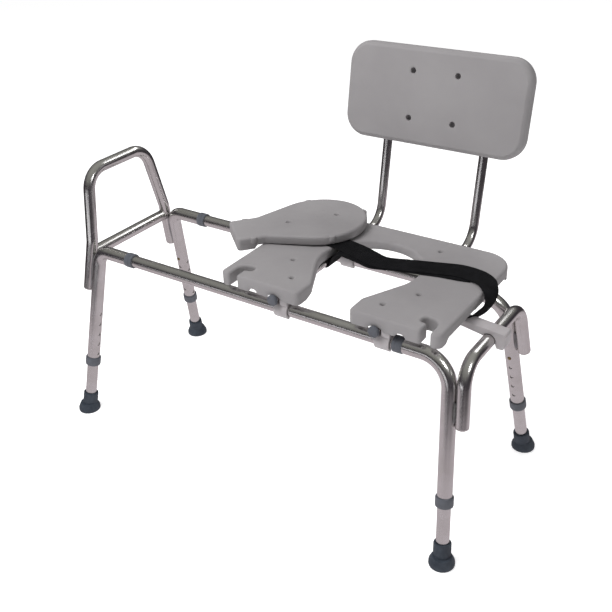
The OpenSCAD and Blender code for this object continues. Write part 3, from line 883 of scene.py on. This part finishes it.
def make_end_caps():
    """The domed caps that close the lower ends of the armrest and the end tube."""
    caps = Shape()
    for side_x, side_y, _ in SIDES:
        _, down, _, _ = leg_axes(side_x, side_y)
        p = beside_leg(side_x, side_y, END_DROP[side_x])
        plug = [(11.1, -11.9), (11.15, 0.38), (RAIL_D / 2 - 0.1, 0.4)]
        lathe(caps, p, down, plug + dome(RAIL_D / 2, 0, 6.8, 8))
    caps.object("tube_cap_domes", TUBE, "root", ["tube_end_caps"], "tube")


def make_foot(side_x, side_y, name):
    """A ribbed rubber foot: a wide flat base, a waist, and a sleeve up the leg."""
    shape = Shape()
    base = [(0, 0), (20.5, 0), (21.5, 0.5), (22.2, 0), (24.2, 0), (24.9, 0.9), (25, 2.5), (25, 6.2)]
    base += [(24.6, 8.2), (23.4, 11.0), (21.8, 14.2), (20.2, 17.4), (19.0, 19.6), (17, 20), (0, 20)]
    lathe(shape, Vector((side_x * FOOT_X, side_y * FOOT_Y, 0)), Z, base, 64)
    top, down, _, _ = leg_axes(side_x, side_y)
    p = top + down * (LEG_LEN - 10)
    sleeve = [(0, -3.5), (16.6, -3.5), (16.9, 0), (16.9, 12), (17.0, 22), (16.9, 32), (16.9, 33.6)]
    sleeve += [(16.5, 35.2), (15.6, 36), (13.6, 36), (12.75, 35.4), (12.75, 4), (0, 4)]
    lathe(shape, p, -down, sleeve, 64)
    body = "extension_" + name
    shape.object("rubber_foot_" + name, RUBBER, body, ["foot_" + name], "foot_rubber")


def make_button(side_x, side_y, name):
    """A snap button and the folded leaf spring behind it, inside the extension."""
    top, down, _, across = leg_axes(side_x, side_y)
    p = top + down * BUTTON_DOWN
    out = across * -side_y
    radius = 3.9
    shape = Shape()
    lathe(shape, p, out, [(0, 5), (radius, 5), (radius, 14.2)] + dome(radius, 14.2, 2.5, 6), 32)
    shape.object("snap_" + name, BRASS, "button_" + name, ["button_" + name], "button_brass")
    leaf = Shape()
    side = down.cross(out)
    for lo, hi in ((4.2, 4.9), (-10.6, -9.9)):
        brick(leaf, p + out * (lo + hi) / 2 - down * 13, out, -down, side, (hi - lo, 42, 6))
    brick(leaf, p - out * 2.85 - down * 33.65, out, -down, side, (15.5, 0.7, 6))
    leaf.object("leaf_spring_" + name, STEEL, "extension_" + name, ["spring_" + name], "steel")


def brick(shape, middle, a, b, c, size):
    """A small box with its three directions and sizes."""
    verts = []
    for i in (-0.5, 0.5):
        for j in (-0.5, 0.5):
            for k in (-0.5, 0.5):
                verts.append(middle + a * size[0] * i + b * size[1] * j + c * size[2] * k)
    shape.add(
        verts,
        [(0, 1, 3, 2), (4, 6, 7, 5), (0, 4, 5, 1), (2, 3, 7, 6), (0, 2, 6, 4), (1, 5, 7, 3)],
    )


make_rails()
make_armrest()
make_end_tube()
make_leg_welds()
make_rail_collars()
make_leg_collars()
make_end_caps()
for side_x, side_y, name in SIDES:
    make_leg(side_x, side_y, name)
    make_extension(side_x, side_y, name)
    make_foot(side_x, side_y, name)
    make_button(side_x, side_y, name)

# ---------- seat ----------


def keyhole_half(radius, half, flare=math.radians(26), step=3.0):
    """The right side of a keyhole, from its rear middle round to where its channel starts."""
    count = round(radius * (math.pi / 2 + flare) / step)
    arc = [
        (radius * math.cos(math.pi / 2 - t), radius * math.sin(math.pi / 2 - t), 0)
        for t in [(math.pi / 2 + flare) * k / count for k in range(count + 1)]
    ]
    x, y, _ = arc[-1]
    return arc, (half, y - (x - half) / math.tan(flare))


def seat_outline():
    """The seat seen from above, from its middle: outer edge, hose notches and keyhole."""
    arc, narrow = keyhole_half(INSERT_R + 2, CHANNEL_HALF)
    right = [(x, y + KEYHOLE_Y, 0) for x, y, _ in arc]
    right.append((narrow[0], narrow[1] + KEYHOLE_Y, 22))
    right.append((CHANNEL_HALF, SEAT_FRONT, 11))
    slot_in, slot_out = 200.5, 218
    slot_end = -98 + 8.75
    right += [
        (slot_in, SEAT_FRONT, 7),
        (slot_in, slot_end - 18.5, 7),
        (slot_in - 15, slot_end - 18.5, 6.5),
        (slot_in - 15, slot_end, 8),
        (slot_out, slot_end, 22),
        (slot_out, SEAT_FRONT, 7),
        (SEAT_W / 2, SEAT_FRONT, 13),
        (SEAT_W / 2, SEAT_REAR, 60),
    ]
    left = [(-x, y, r) for x, y, r in reversed(right[1:])]
    return spaced(rounded(right + left), 4)


def seat_low(p):
    """The height of the seat wall's lower edge at a point of its outline."""
    x, y = abs(p[0]), p[1]
    low = SKIRT_Z
    if y < SEAT_FRONT + 1.5:
        if abs(x - CROSS_X) < 16:
            low = max(low, PLATE_Z - 1.5 - 8 * (1 - math.sqrt(1 - ((x - CROSS_X) / 16) ** 2)))
        if abs(x - 161) < 11:
            low = max(low, SKIRT_Z + 8.5 * math.sqrt(1 - ((x - 161) / 11) ** 2))
    if y > SEAT_REAR - 1.5 and abs(x - CROSS_X) < 16:
        low = PLATE_Z - 0.5
    if x < 104.5 and SEAT_FRONT + 30 < y < 150:
        low = SKIRT_Z + (PLATE_Z - 1 - SKIRT_Z) * min(1, (y - SEAT_FRONT - 30) / 25)
    if p[0] > SEAT_W / 2 - 1.5 and y > -112:
        low = SKIRT_Z + 8 * min(1, (y + 112) / 9) ** 0.6
    if p[0] > SEAT_W / 2 - 1.5 and abs(y - LATCH_Y) < 17:
        low = PLATE_Z - 0.5
    return low


def make_seat():
    """The seat's moulding: a plate with a skirt, a rounded top edge and six dished holes."""
    outline = seat_outline()
    hole = dimple(3.4, 7.8, 5.0)
    spots = [(s * x, y, hole) for s in (-1, 1) for x, y in ((100.5, -90), (140.5, -26), (97, 152))]
    shape = Shape()

    def place(x, y, z):
        return Vector((SEAT_X + x, y, z))

    foot = [(0, 2.0), (0.6, 0.6), (2.0, 0)]
    moulded(shape, outline, SEAT_TOP, seat_low, place, fillet(6, 6), foot, spots, PLATE_Z, 8)
    shape.object("seat_shell", GREY, "carriage", ["seat_panel"], "grey_plastic", 50)


def insert_place():
    """Where the insert's own points go, as it lies on the seat and the belt."""
    left = SEAT_X - SEAT_W / 2
    spin = Matrix.Rotation(math.radians(-42), 4, "Z")
    tilt = Matrix.Rotation(math.radians(-1.4), 4, "Y")
    move = (
        Matrix.Translation((left, 0, SEAT_TOP + 0.5))
        @ tilt
        @ Matrix.Translation((-8 - left, 132, 0))
        @ spin
    )
    return lambda x, y, z: move @ Vector((x, y, z))


def make_insert():
    """The lift-out insert: a keyhole-shaped plate with a lip at its front and five nubs."""
    arc, narrow = keyhole_half(INSERT_R, NECK_HALF)
    right = list(arc) + [(*narrow, 22), (NECK_HALF, -INSERT_REACH, 9)]
    left = [(-x, y, r) for x, y, r in reversed(right[1:])]
    outline = spaced(rounded(right + left), 3.5)

    def low(p):
        """The wall's lower edge, which drops smoothly to the front lip."""
        step = min(1, max(0, (-p[1] - 148) / 4))
        return -8 * (3 * step**2 - 2 * step**3)

    place = insert_place()
    hole = dimple(3.4, 7.8, 5.0)
    spots = [(0, -68, hole), (0, 39, hole)]
    foot = [(0, 3), (0.9, 0.9), (3, 0)]
    shape = Shape()
    moulded(shape, outline, INSERT_THICK, low, place, fillet(6, 6), foot, spots, 0.3, 7)
    spots = [(INSERT_R, 0, 0), (-INSERT_R, 0, 180), (0, INSERT_R, 90)]
    spots += [(NECK_HALF, -154, 0), (-NECK_HALF, -154, 180)]
    for cx, cy, angle in spots:
        nub(shape, place, cx, cy, math.radians(angle))
    shape.object("insert_shell", GREY, "insert", ["seat_insert"], "grey_plastic", 50)


def nub(shape, place, cx, cy, angle):
    """A small rounded rib on the insert's wall that clicks into a slot of the seat."""
    c, s = math.cos(angle), math.sin(angle)
    wide, sunk = 6.8, 0.4
    profile = [(-wide, 0), (-5.6, 2.4), (-3.6, 3.6), (0, 3.8), (3.6, 3.6), (5.6, 2.4), (wide, 0)]
    levels = [(19.0, 0.0), (18.2, 0.8), (17.0, 1.0), (7.5, 1.0), (5.8, 0.8), (4.6, 0.0)]
    verts = []
    for z, grow in levels:
        for t, out in profile:
            r = out * grow - sunk
            verts.append(place(cx + c * r - s * t, cy + s * r + c * t, z))
    n = len(profile)
    faces = bands(len(levels), n, False)
    back = len(verts)
    for z, _ in (levels[0], levels[-1]):
        for t in (-wide, wide):
            verts.append(place(cx - c * 2 - s * t, cy - s * 2 + c * t, z))
    last = (len(levels) - 1) * n
    faces.append(tuple(range(n)) + (back + 1, back))
    faces.append(tuple(reversed(range(last, last + n))) + (back + 2, back + 3))
    faces.append(tuple([k * n for k in range(len(levels))] + [back + 2, back]))
    faces.append(tuple([k * n + n - 1 for k in reversed(range(len(levels)))] + [back + 1, back + 3]))
    faces.append((back, back + 1, back + 3, back + 2))
    shape.add(verts, faces)


def make_posts():
    """The cross tubes that bend up into the backrest's posts, and the caps on their front ends."""
    for side, name in ((-1, "post_left"), (1, "post_right")):
        x = SEAT_X + side * CROSS_X
        top = Vector((x, POST_Y + POST_LEN * math.sin(RECLINE), POST_Z + POST_LEN * math.cos(RECLINE)))
        line = route([(x, SEAT_FRONT - 4, POST_Z), (x, POST_Y, POST_Z), top], [0, 50, 0], 14, 3)
        shape = Shape()
        tube(shape, sweep_frames(line, X), POST_D / 2, 1.2, 40)
        shape.object("tube_" + name, POST, "carriage", [name], "tube")
    plug = [(8.2, -11.9), (8.25, 0.3), (9.6, 0.3), (9.6, -3.4), (10.6, -3.4), (10.9, -2.8)]
    plug += [(10.9, 2.0), (10.4, 3.4), (9.2, 4.4), (7.2, 4.9), (0, 5)]
    plugs = Shape()
    for side in (-1, 1):
        lathe(plugs, Vector((SEAT_X + side * CROSS_X, SEAT_FRONT - 4, POST_Z)), -Y, plug, 40)
    plugs.object("cross_tube_plugs", SLATE, "carriage", ["post_end_plugs"], "slate_plastic")


def back_place():
    """Points in the backrest's own frame: x across, depth back through it, z up its face."""
    spin = Matrix.Translation((SEAT_X, BACK_Y, BACK_Z)) @ Matrix.Rotation(-RECLINE, 4, "X")
    return lambda x, y, z: spin @ Vector((x, y, z))


def make_backrest():
    """The backrest's panel, with four holes, and the two sleeves on its back for the posts."""
    place = back_place()
    half, height, corner = 202, 198, 47
    corners = [(-half, 0), (half, 0), (half, height), (-half, height)]
    outline = spaced(rounded([(x, z, corner) for x, z in corners]), 5)
    hole = dimple(6.0, 7.4, 0.9)
    edge = [(0, 13), (0.6, 9.5), (2, 6.2), (4.4, 3.2), (7.2, 1.1), (8.4, 0.3), (9.6, 0)]
    spots = [(s * 49.5, z, hole) for s in (-1, 1) for z in (54.5, 150)]
    shape = Shape()

    def facing(x, z, depth):
        return place(x, BACK_THICK - depth, z)

    rear_edge = [(0, 5), (0.4, 3), (1.5, 1.5), (3, 0.4), (5, 0)]
    moulded(shape, outline, BACK_THICK, 0, facing, edge, rear_edge, spots)
    for side in (-1, 1):
        bottom = place(side * CROSS_X, POST_BACK, 3)
        top = place(side * CROSS_X, POST_BACK, 187)
        axis = (top - bottom).normalized()
        length = (top - bottom).length
        bore = POST_D / 2 + 0.1
        profile = [(bore, 4), (bore, 1), (12, 1), (13, 2), (13.4, 4), (13.4, length - 8)]
        profile += [(12, length - 3), (9, length - 0.5), (0, length)]
        lathe(shape, bottom, axis, profile, 40, Y)
    shape.object("backrest_shell", GREY, "carriage", ["backrest_panel"], "grey_plastic", 50)


make_seat()
make_insert()
make_posts()
make_backrest()

# ---------- glides and latch ----------


def make_glide(side_x, side_y, name):
    """A nylon clip round a rail: a C open underneath, with a pad up to the cross tube."""
    gap = math.radians(22)
    outer_r, inner_r = 17.9, 13.05
    turns = [-math.pi / 2 + gap + (2 * math.pi - 2 * gap) * k / 40 for k in range(41)]
    outer = [Vector((outer_r * math.cos(t), outer_r * math.sin(t))) for t in turns]
    inner = [Vector((inner_r * math.cos(t), inner_r * math.sin(t))) for t in reversed(turns)]
    x = SEAT_X + side_x * CROSS_X

    def place(u, v, w):
        """A clip's point. The end under the cross tube is cut level, for the pad's sake."""
        level = 14.6 if w < -3 else outer_r
        return Vector((x + 13 + w, side_y * RAIL_Y + u, RAIL_Z + min(v, level)))

    shape = Shape()
    edge = [(0, 1), (0.3, 0.3), (1, 0)]
    moulded(shape, spaced(outer + inner, 3), 15, -15, place, edge, edge)
    pad = Vector((x + 19.5, side_y * (RAIL_Y + 1), RAIL_Z + 23.5))
    brick(shape, pad, X, Y, Z, (17, 24, 19.8))
    node = "glide_" + name
    shape.object("rail_" + node, NYLON, "carriage", [node], "nylon")


def make_latch():
    """The latch arm that hooks over the end tube, with its bracket and pin."""
    tube_x = end_corner(1, 1, END_Z).x
    r = RAIL_D / 2 + 0.3
    wrap = math.radians(18)
    turns = [-wrap + (math.radians(150) + wrap) * k / 24 for k in range(25)]
    under = [(tube_x + r * math.cos(a), END_Z + r * math.sin(a), 0) for a in reversed(turns)]
    profile = [(380.2, 410, 3.5), (tube_x - 20, 401, 4)]
    profile += under
    profile += [
        (tube_x + r + 2.5, 380, 2), (480, 380, 3), (485, 387, 4), (485, 412.5, 5),
        (407, 419.3, 2), (380.2, 419.3, 3.5),
    ]
    shape = Shape()

    def place(u, v, w):
        return Vector((u, LATCH_Y + w, v))

    line = spaced(rounded(profile, 1.2), 2.5)
    moulded(shape, line, 14, -14, place, fillet(2, 3), [(0, 2), (0.6, 0.6), (2, 0)])
    shape.object("latch_hook", NYLON, "latch", ["latch_arm"], "nylon", 40)
    bracket = Shape()
    for side in (-1, 1):
        brick(bracket, Vector((377, LATCH_Y + side * 16.5, 419.3)), X, Y, Z, (28, 4, 21.4))
    brick(bracket, Vector((366.5, LATCH_Y, 419.3)), X, Y, Z, (7, 29, 21.4))
    bracket.object("latch_hanger", GREY, "carriage", ["latch_bracket"], "grey_plastic")
    pin = Shape()
    profile = [(0, 0), (2.2, 0), (2.5, 0.4), (2.5, 36.4), (2.2, 36.8), (0, 36.8)]
    lathe(pin, Vector((385, LATCH_Y - 18.4, 414.5)), Y, profile, 24)
    pin.object("latch_axle", STEEL, "carriage", ["latch_pin"], "steel")


for side_x, side_y, name in SIDES:
    make_glide(side_x, side_y, name)
make_latch()

# ---------- belt ----------


def smooth_line(points, count):
    """A Catmull-Rom curve through points, with the count of steps between each two."""
    padded = [points[0] * 2 - points[1]] + points + [points[-1] * 2 - points[-2]]
    dense = []
    for i in range(1, len(padded) - 2):
        p0, p1, p2, p3 = padded[i - 1 : i + 3]
        for k in range(count):
            t = k / count
            squared = (2 * p0 - 5 * p1 + 4 * p2 - p3) * t**2
            cubed = (3 * p1 - p0 - 3 * p2 + p3) * t**3
            dense.append(0.5 * (2 * p1 + (p2 - p0) * t + squared + cubed))
    dense.append(padded[-2])
    return dense


def ribbon(name, pairs, thick, replaces=()):
    """A strip of webbing between two edges, with a real thickness that thins at the edges."""
    rear = smooth_line([Vector(p[0]) for p in pairs], 16)
    front = smooth_line([Vector(p[1]) for p in pairs], 16)
    n = len(rear)
    across = 12
    middle = [(a + b) / 2 for a, b in zip(rear, front)]
    runs = [0]
    for a, b in zip(middle, middle[1:]):
        runs.append(runs[-1] + (b - a).length)
    grid = [[rear[i].lerp(front[i], j / across) for j in range(across + 1)] for i in range(n)]
    verts, faces, uvs = [], [], []
    width = sum((a - b).length for a, b in zip(rear, front)) / n
    for side in (1, -1):
        for i in range(n):
            for j in range(across + 1):
                along = grid[min(i + 1, n - 1)][j] - grid[max(i - 1, 0)][j]
                over = grid[i][min(j + 1, across)] - grid[i][max(j - 1, 0)]
                normal = along.cross(over)
                if normal.length < 1e-9:
                    normal = Z
                edge = 0.55 if j in (0, across) else 1.0
                verts.append(grid[i][j] + normal.normalized() * side * thick / 2 * edge)
                uvs.append((runs[i] * 0.01, j / across * width * 0.01))
    size = n * (across + 1)
    for i in range(n - 1):
        for j in range(across):
            a, b = i * (across + 1) + j, (i + 1) * (across + 1) + j
            faces.append((a, b, b + 1, a + 1))
            faces.append((size + a, size + a + 1, size + b + 1, size + b))
        for j in (0, across):
            a, b = i * (across + 1) + j, (i + 1) * (across + 1) + j
            faces.append((a, b, size + b, size + a))
    for i in (0, n - 1):
        for j in range(across):
            a = i * (across + 1) + j
            faces.append((a, a + 1, size + a + 1, size + a))
    piece = make(name, verts, faces, WEBBING, "carriage", replaces, uvs, 60)
    return piece, width, runs[-1]


def make_belt():
    """The belt's two strands, from points along the rear and the front edge of each."""
    top = SEAT_TOP
    upper = [
        ((20, 112, top + 1.4), (14, 64, top + 1.4)), ((55, 108, top + 1.6), (45, 60, top + 1.6)),
        ((88, 102, top + 1.9), (76, 54, top + 1.9)), ((115, 95, top + 2.6), (104, 46, top + 2.6)),
        ((137, 89, top + 2.8), (126, 40, top + 2.8)), ((165, 79, top + 2.8), (156, 30, top + 2.6)),
        ((193, 71.5, top + 2.6), (190, 22, top + 2.4)), ((231, 82.4, top + 2.8), (244, 35, top + 2.8)),
        ((287, 100, top + 3.0), (299, 52, top + 3.0)), ((335.5, 113.4, top + 3.4), (341, 64, top + 3.4)),
        ((376, 111, top + 3.4), (371, 62, top + 3.4)), ((400, 101, top + 3.4), (391, 56, top + 3.4)),
        ((417, 86, top + 3.2), (406, 42, top + 3.0)), ((426, 71, top + 1.4), (414.5, 32, top + 1.2)),
        ((431, 62, 446), (419, 26, 446)), ((432, 55, 437), (422, 23, 441)),
        ((430, 43, 427), (423, 13, 436)), ((424, 28, 417), (419, 3, 432)),
        ((416, 14, 412), (413, -7, 426)), ((408, 2, 409), (405, -16, 422)),
    ]
    belt, width, length = ribbon("belt_upper", upper, 1.5, ["seat_belt"])
    lower = [
        ((50, 88, 424), (50, 40, 424)), ((53, 88, 412), (53, 40, 412)), ((61, 88, 409.2), (61, 40, 409.2)),
        ((70, 87, 412), (70, 39, 412)), ((75, 87, 423), (75, 39, 423)), ((80, 86, 438), (83, 38, 438)),
        ((92, 81, top + 0.4), (104, 32, top + 0.4)), ((138, 73, top + 0.8), (147, 24, top + 0.8)),
        ((182, 65, top + 0.8), (182, 15.5, top + 0.8)), ((208, 75, top + 0.9), (218, 26, top + 0.9)),
        ((232, 82, top + 1), (241, 33, top + 1)), ((264, 88, top + 1.2), (272, 39, top + 1.2)),
        ((306, 98, top + 1.4), (312, 49, top + 1.4)), ((350, 104, top + 1.6), (353, 55, top + 1.6)),
        ((372, 109, top + 1.6), (374, 60, top + 1.6)),
    ]
    belt, width, length = ribbon("belt_lower", lower, 1.5)


make_belt()

# ---------- studio ----------

ROOM_R = 8


def make_camera():
    """A camera at the bench's three-quarter view from the front right."""
    azimuth, elevation, roll = map(math.radians, (35.03, 30.10, -2.33))
    level = math.cos(elevation)
    back = Vector((math.sin(azimuth) * level, -math.cos(azimuth) * level, math.sin(elevation)))
    right = (-back).cross(Z).normalized()
    up = right.cross(-back)
    c, s = math.cos(roll), math.sin(roll)
    across = c * right + s * up
    upward = -s * right + c * up
    place = Vector((0.9397, -1.2855 + DEPTH, 1.2414))
    data = bpy.data.cameras.new("camera")
    data.lens = 51.16
    data.shift_x = 0.3 / 612
    data.shift_y = -0.5 / 612
    data.sensor_width = 36
    camera = bpy.data.objects.new("camera", data)
    bpy.context.scene.collection.objects.link(camera)
    camera.matrix_world = Matrix(
        (
            (across.x, upward.x, back.x, place.x),
            (across.y, upward.y, back.y, place.y),
            (across.z, upward.z, back.z, place.z),
            (0, 0, 0, 1),
        )
    )
    bpy.context.scene.camera = camera


def area_light(name, place, target, size, power):
    """A soft box that faces its target."""
    data = bpy.data.lights.new(name, "AREA")
    data.shape = "RECTANGLE"
    data.size, data.size_y = size
    data.energy = power
    light = bpy.data.objects.new(name, data)
    bpy.context.scene.collection.objects.link(light)
    light.location = place
    light.rotation_euler = (Vector(target) - Vector(place)).to_track_quat("-Z", "Y").to_euler()
    return light


def plain(name, color, glow):
    """A material of one even colour that also glows."""
    material = bpy.data.materials.new(name)
    material.use_nodes = True
    shader = material.node_tree.nodes["Principled BSDF"]
    put(shader, Base_Color=(*color, 1), Roughness=0.9)
    put(shader, Emission_Color=(*color, 1), Emission_Strength=glow)
    return material


def reflected_only(name, verts, faces, material):
    """A card round the set that shows in reflections and nowhere else."""
    mesh = bpy.data.meshes.new(name)
    mesh.from_pydata(verts, [], faces)
    mesh.materials.append(material)
    card = bpy.data.objects.new(name, mesh)
    bpy.context.scene.collection.objects.link(card)
    for flag in ("visible_camera", "visible_diffuse", "visible_shadow", "visible_transmission"):
        setattr(card, flag, False)


def glowing(name, stops, source, low, high):
    """A card material whose glow runs through colours with a value of its position."""
    look = Look(name, (0, 0, 0), 1.0)
    split = look.nodes.new("ShaderNodeSeparateXYZ")
    look.links.new(look.coords.outputs["Object"], split.inputs["Vector"])
    value = source(look, split)
    color = look.ramp(look.spread(value, 0, 1, low, high), stops)
    look.links.new(color, look.shader.inputs["Emission Color"])
    put(look.shader, Emission_Strength=1.0)
    return look.material


def math_node(look, operation, a, b):
    node = look.nodes.new("ShaderNodeMath")
    node.operation = operation
    for value, socket in ((a, node.inputs[0]), (b, node.inputs[1])):
        if isinstance(value, (int, float)):
            socket.default_value = value
        else:
            look.links.new(value, socket)
    return node.outputs[0]


def paper_edge(look, split):
    """How far a point is from the middle of the paper, as a share of its half size."""
    x = math_node(look, "DIVIDE", math_node(look, "ABSOLUTE", split.outputs["X"], 0), 1.3)
    y = math_node(look, "DIVIDE", math_node(look, "ABSOLUTE", split.outputs["Y"], 0), 1.2)
    return math_node(look, "MAXIMUM", x, y)


def flat(half, z):
    """A level square's corners and face."""
    return [(-half, -half, z), (half, -half, z), (half, half, z), (-half, half, z)], [(0, 1, 2, 3)]


def make_floor():
    """A wide white floor that fills the picture's background."""
    mesh = bpy.data.meshes.new("floor")
    verts, faces = flat(40, 0)
    mesh.from_pydata(verts, [], faces)
    mesh.materials.append(plain("floor_white", (0.9, 0.9, 0.9), 0.6))
    floor = bpy.data.objects.new("floor", mesh)
    bpy.context.scene.collection.objects.link(floor)


def make_paper():
    """What the tubes mirror below them: pale paper that ends in a dark floor."""
    stops = [(0.0, (0.55, 0.50, 0.525)), (0.66, (0.50, 0.45, 0.475)), (1.0, (0.03, 0.025, 0.03))]
    paper = glowing("paper_glow", stops, paper_edge, 0.0, 1.25)
    verts, faces = flat(ROOM_R, 0.001)
    reflected_only("paper_card", verts, faces, paper)


def make_room():
    """What the tubes mirror above them: a dark room with a paler ceiling."""
    verts = []
    around, upward = 48, 12
    for i in range(upward + 1):
        e = math.pi / 2 * i / upward
        level = ROOM_R * math.cos(e)
        for k in range(around):
            t = 2 * math.pi * k / around
            verts.append((level * math.cos(t), level * math.sin(t), ROOM_R * math.sin(e)))
    stops = [
        (0.0, (0.035, 0.03, 0.038)), (0.3, (0.055, 0.05, 0.056)), (0.6, (0.21, 0.21, 0.195)),
        (1.0, (0.33, 0.33, 0.305)),
    ]
    room = glowing("room_glow", stops, lambda look, split: split.outputs["Z"], 0, ROOM_R)
    reflected_only("room_dome", verts, bands(upward + 1, around), room)


def make_window():
    """A low white card in front that gives the tubes their bright line."""
    left, right, low, high = -2.5, 0.75, 0.02, 0.45
    window = [(left, -3, low), (right, -3, low), (right, -3, high), (left, -3, high)]
    white = plain("window_white", (0.72, 0.72, 0.74), 0.62)
    reflected_only("window_card", window, [(0, 1, 2, 3)], white)


def make_lights():
    """A white sky and three soft boxes."""
    world = bpy.data.worlds.new("studio")
    bpy.context.scene.world = world
    world.use_nodes = True
    put(world.node_tree.nodes["Background"], Color=(1, 1, 1, 1), Strength=0.5)
    bench = (0, 0, 0.4)
    key = area_light("key", (-0.7, -0.95, 2.6), bench, (1.2, 1.2), 48)
    key.visible_glossy = False
    glint = area_light("glint", (1.3, -0.4, 1.4), (0.35, 0, 0.4), (0.35, 0.35), 4)
    glint.visible_diffuse = False
    area_light("back", (0.2, 1.8, 2.2), bench, (1.6, 0.4), 9)


make_camera()
make_floor()
make_paper()
make_room()
make_window()
make_lights()
scene = bpy.context.scene
scene.view_settings.view_transform = "Standard"
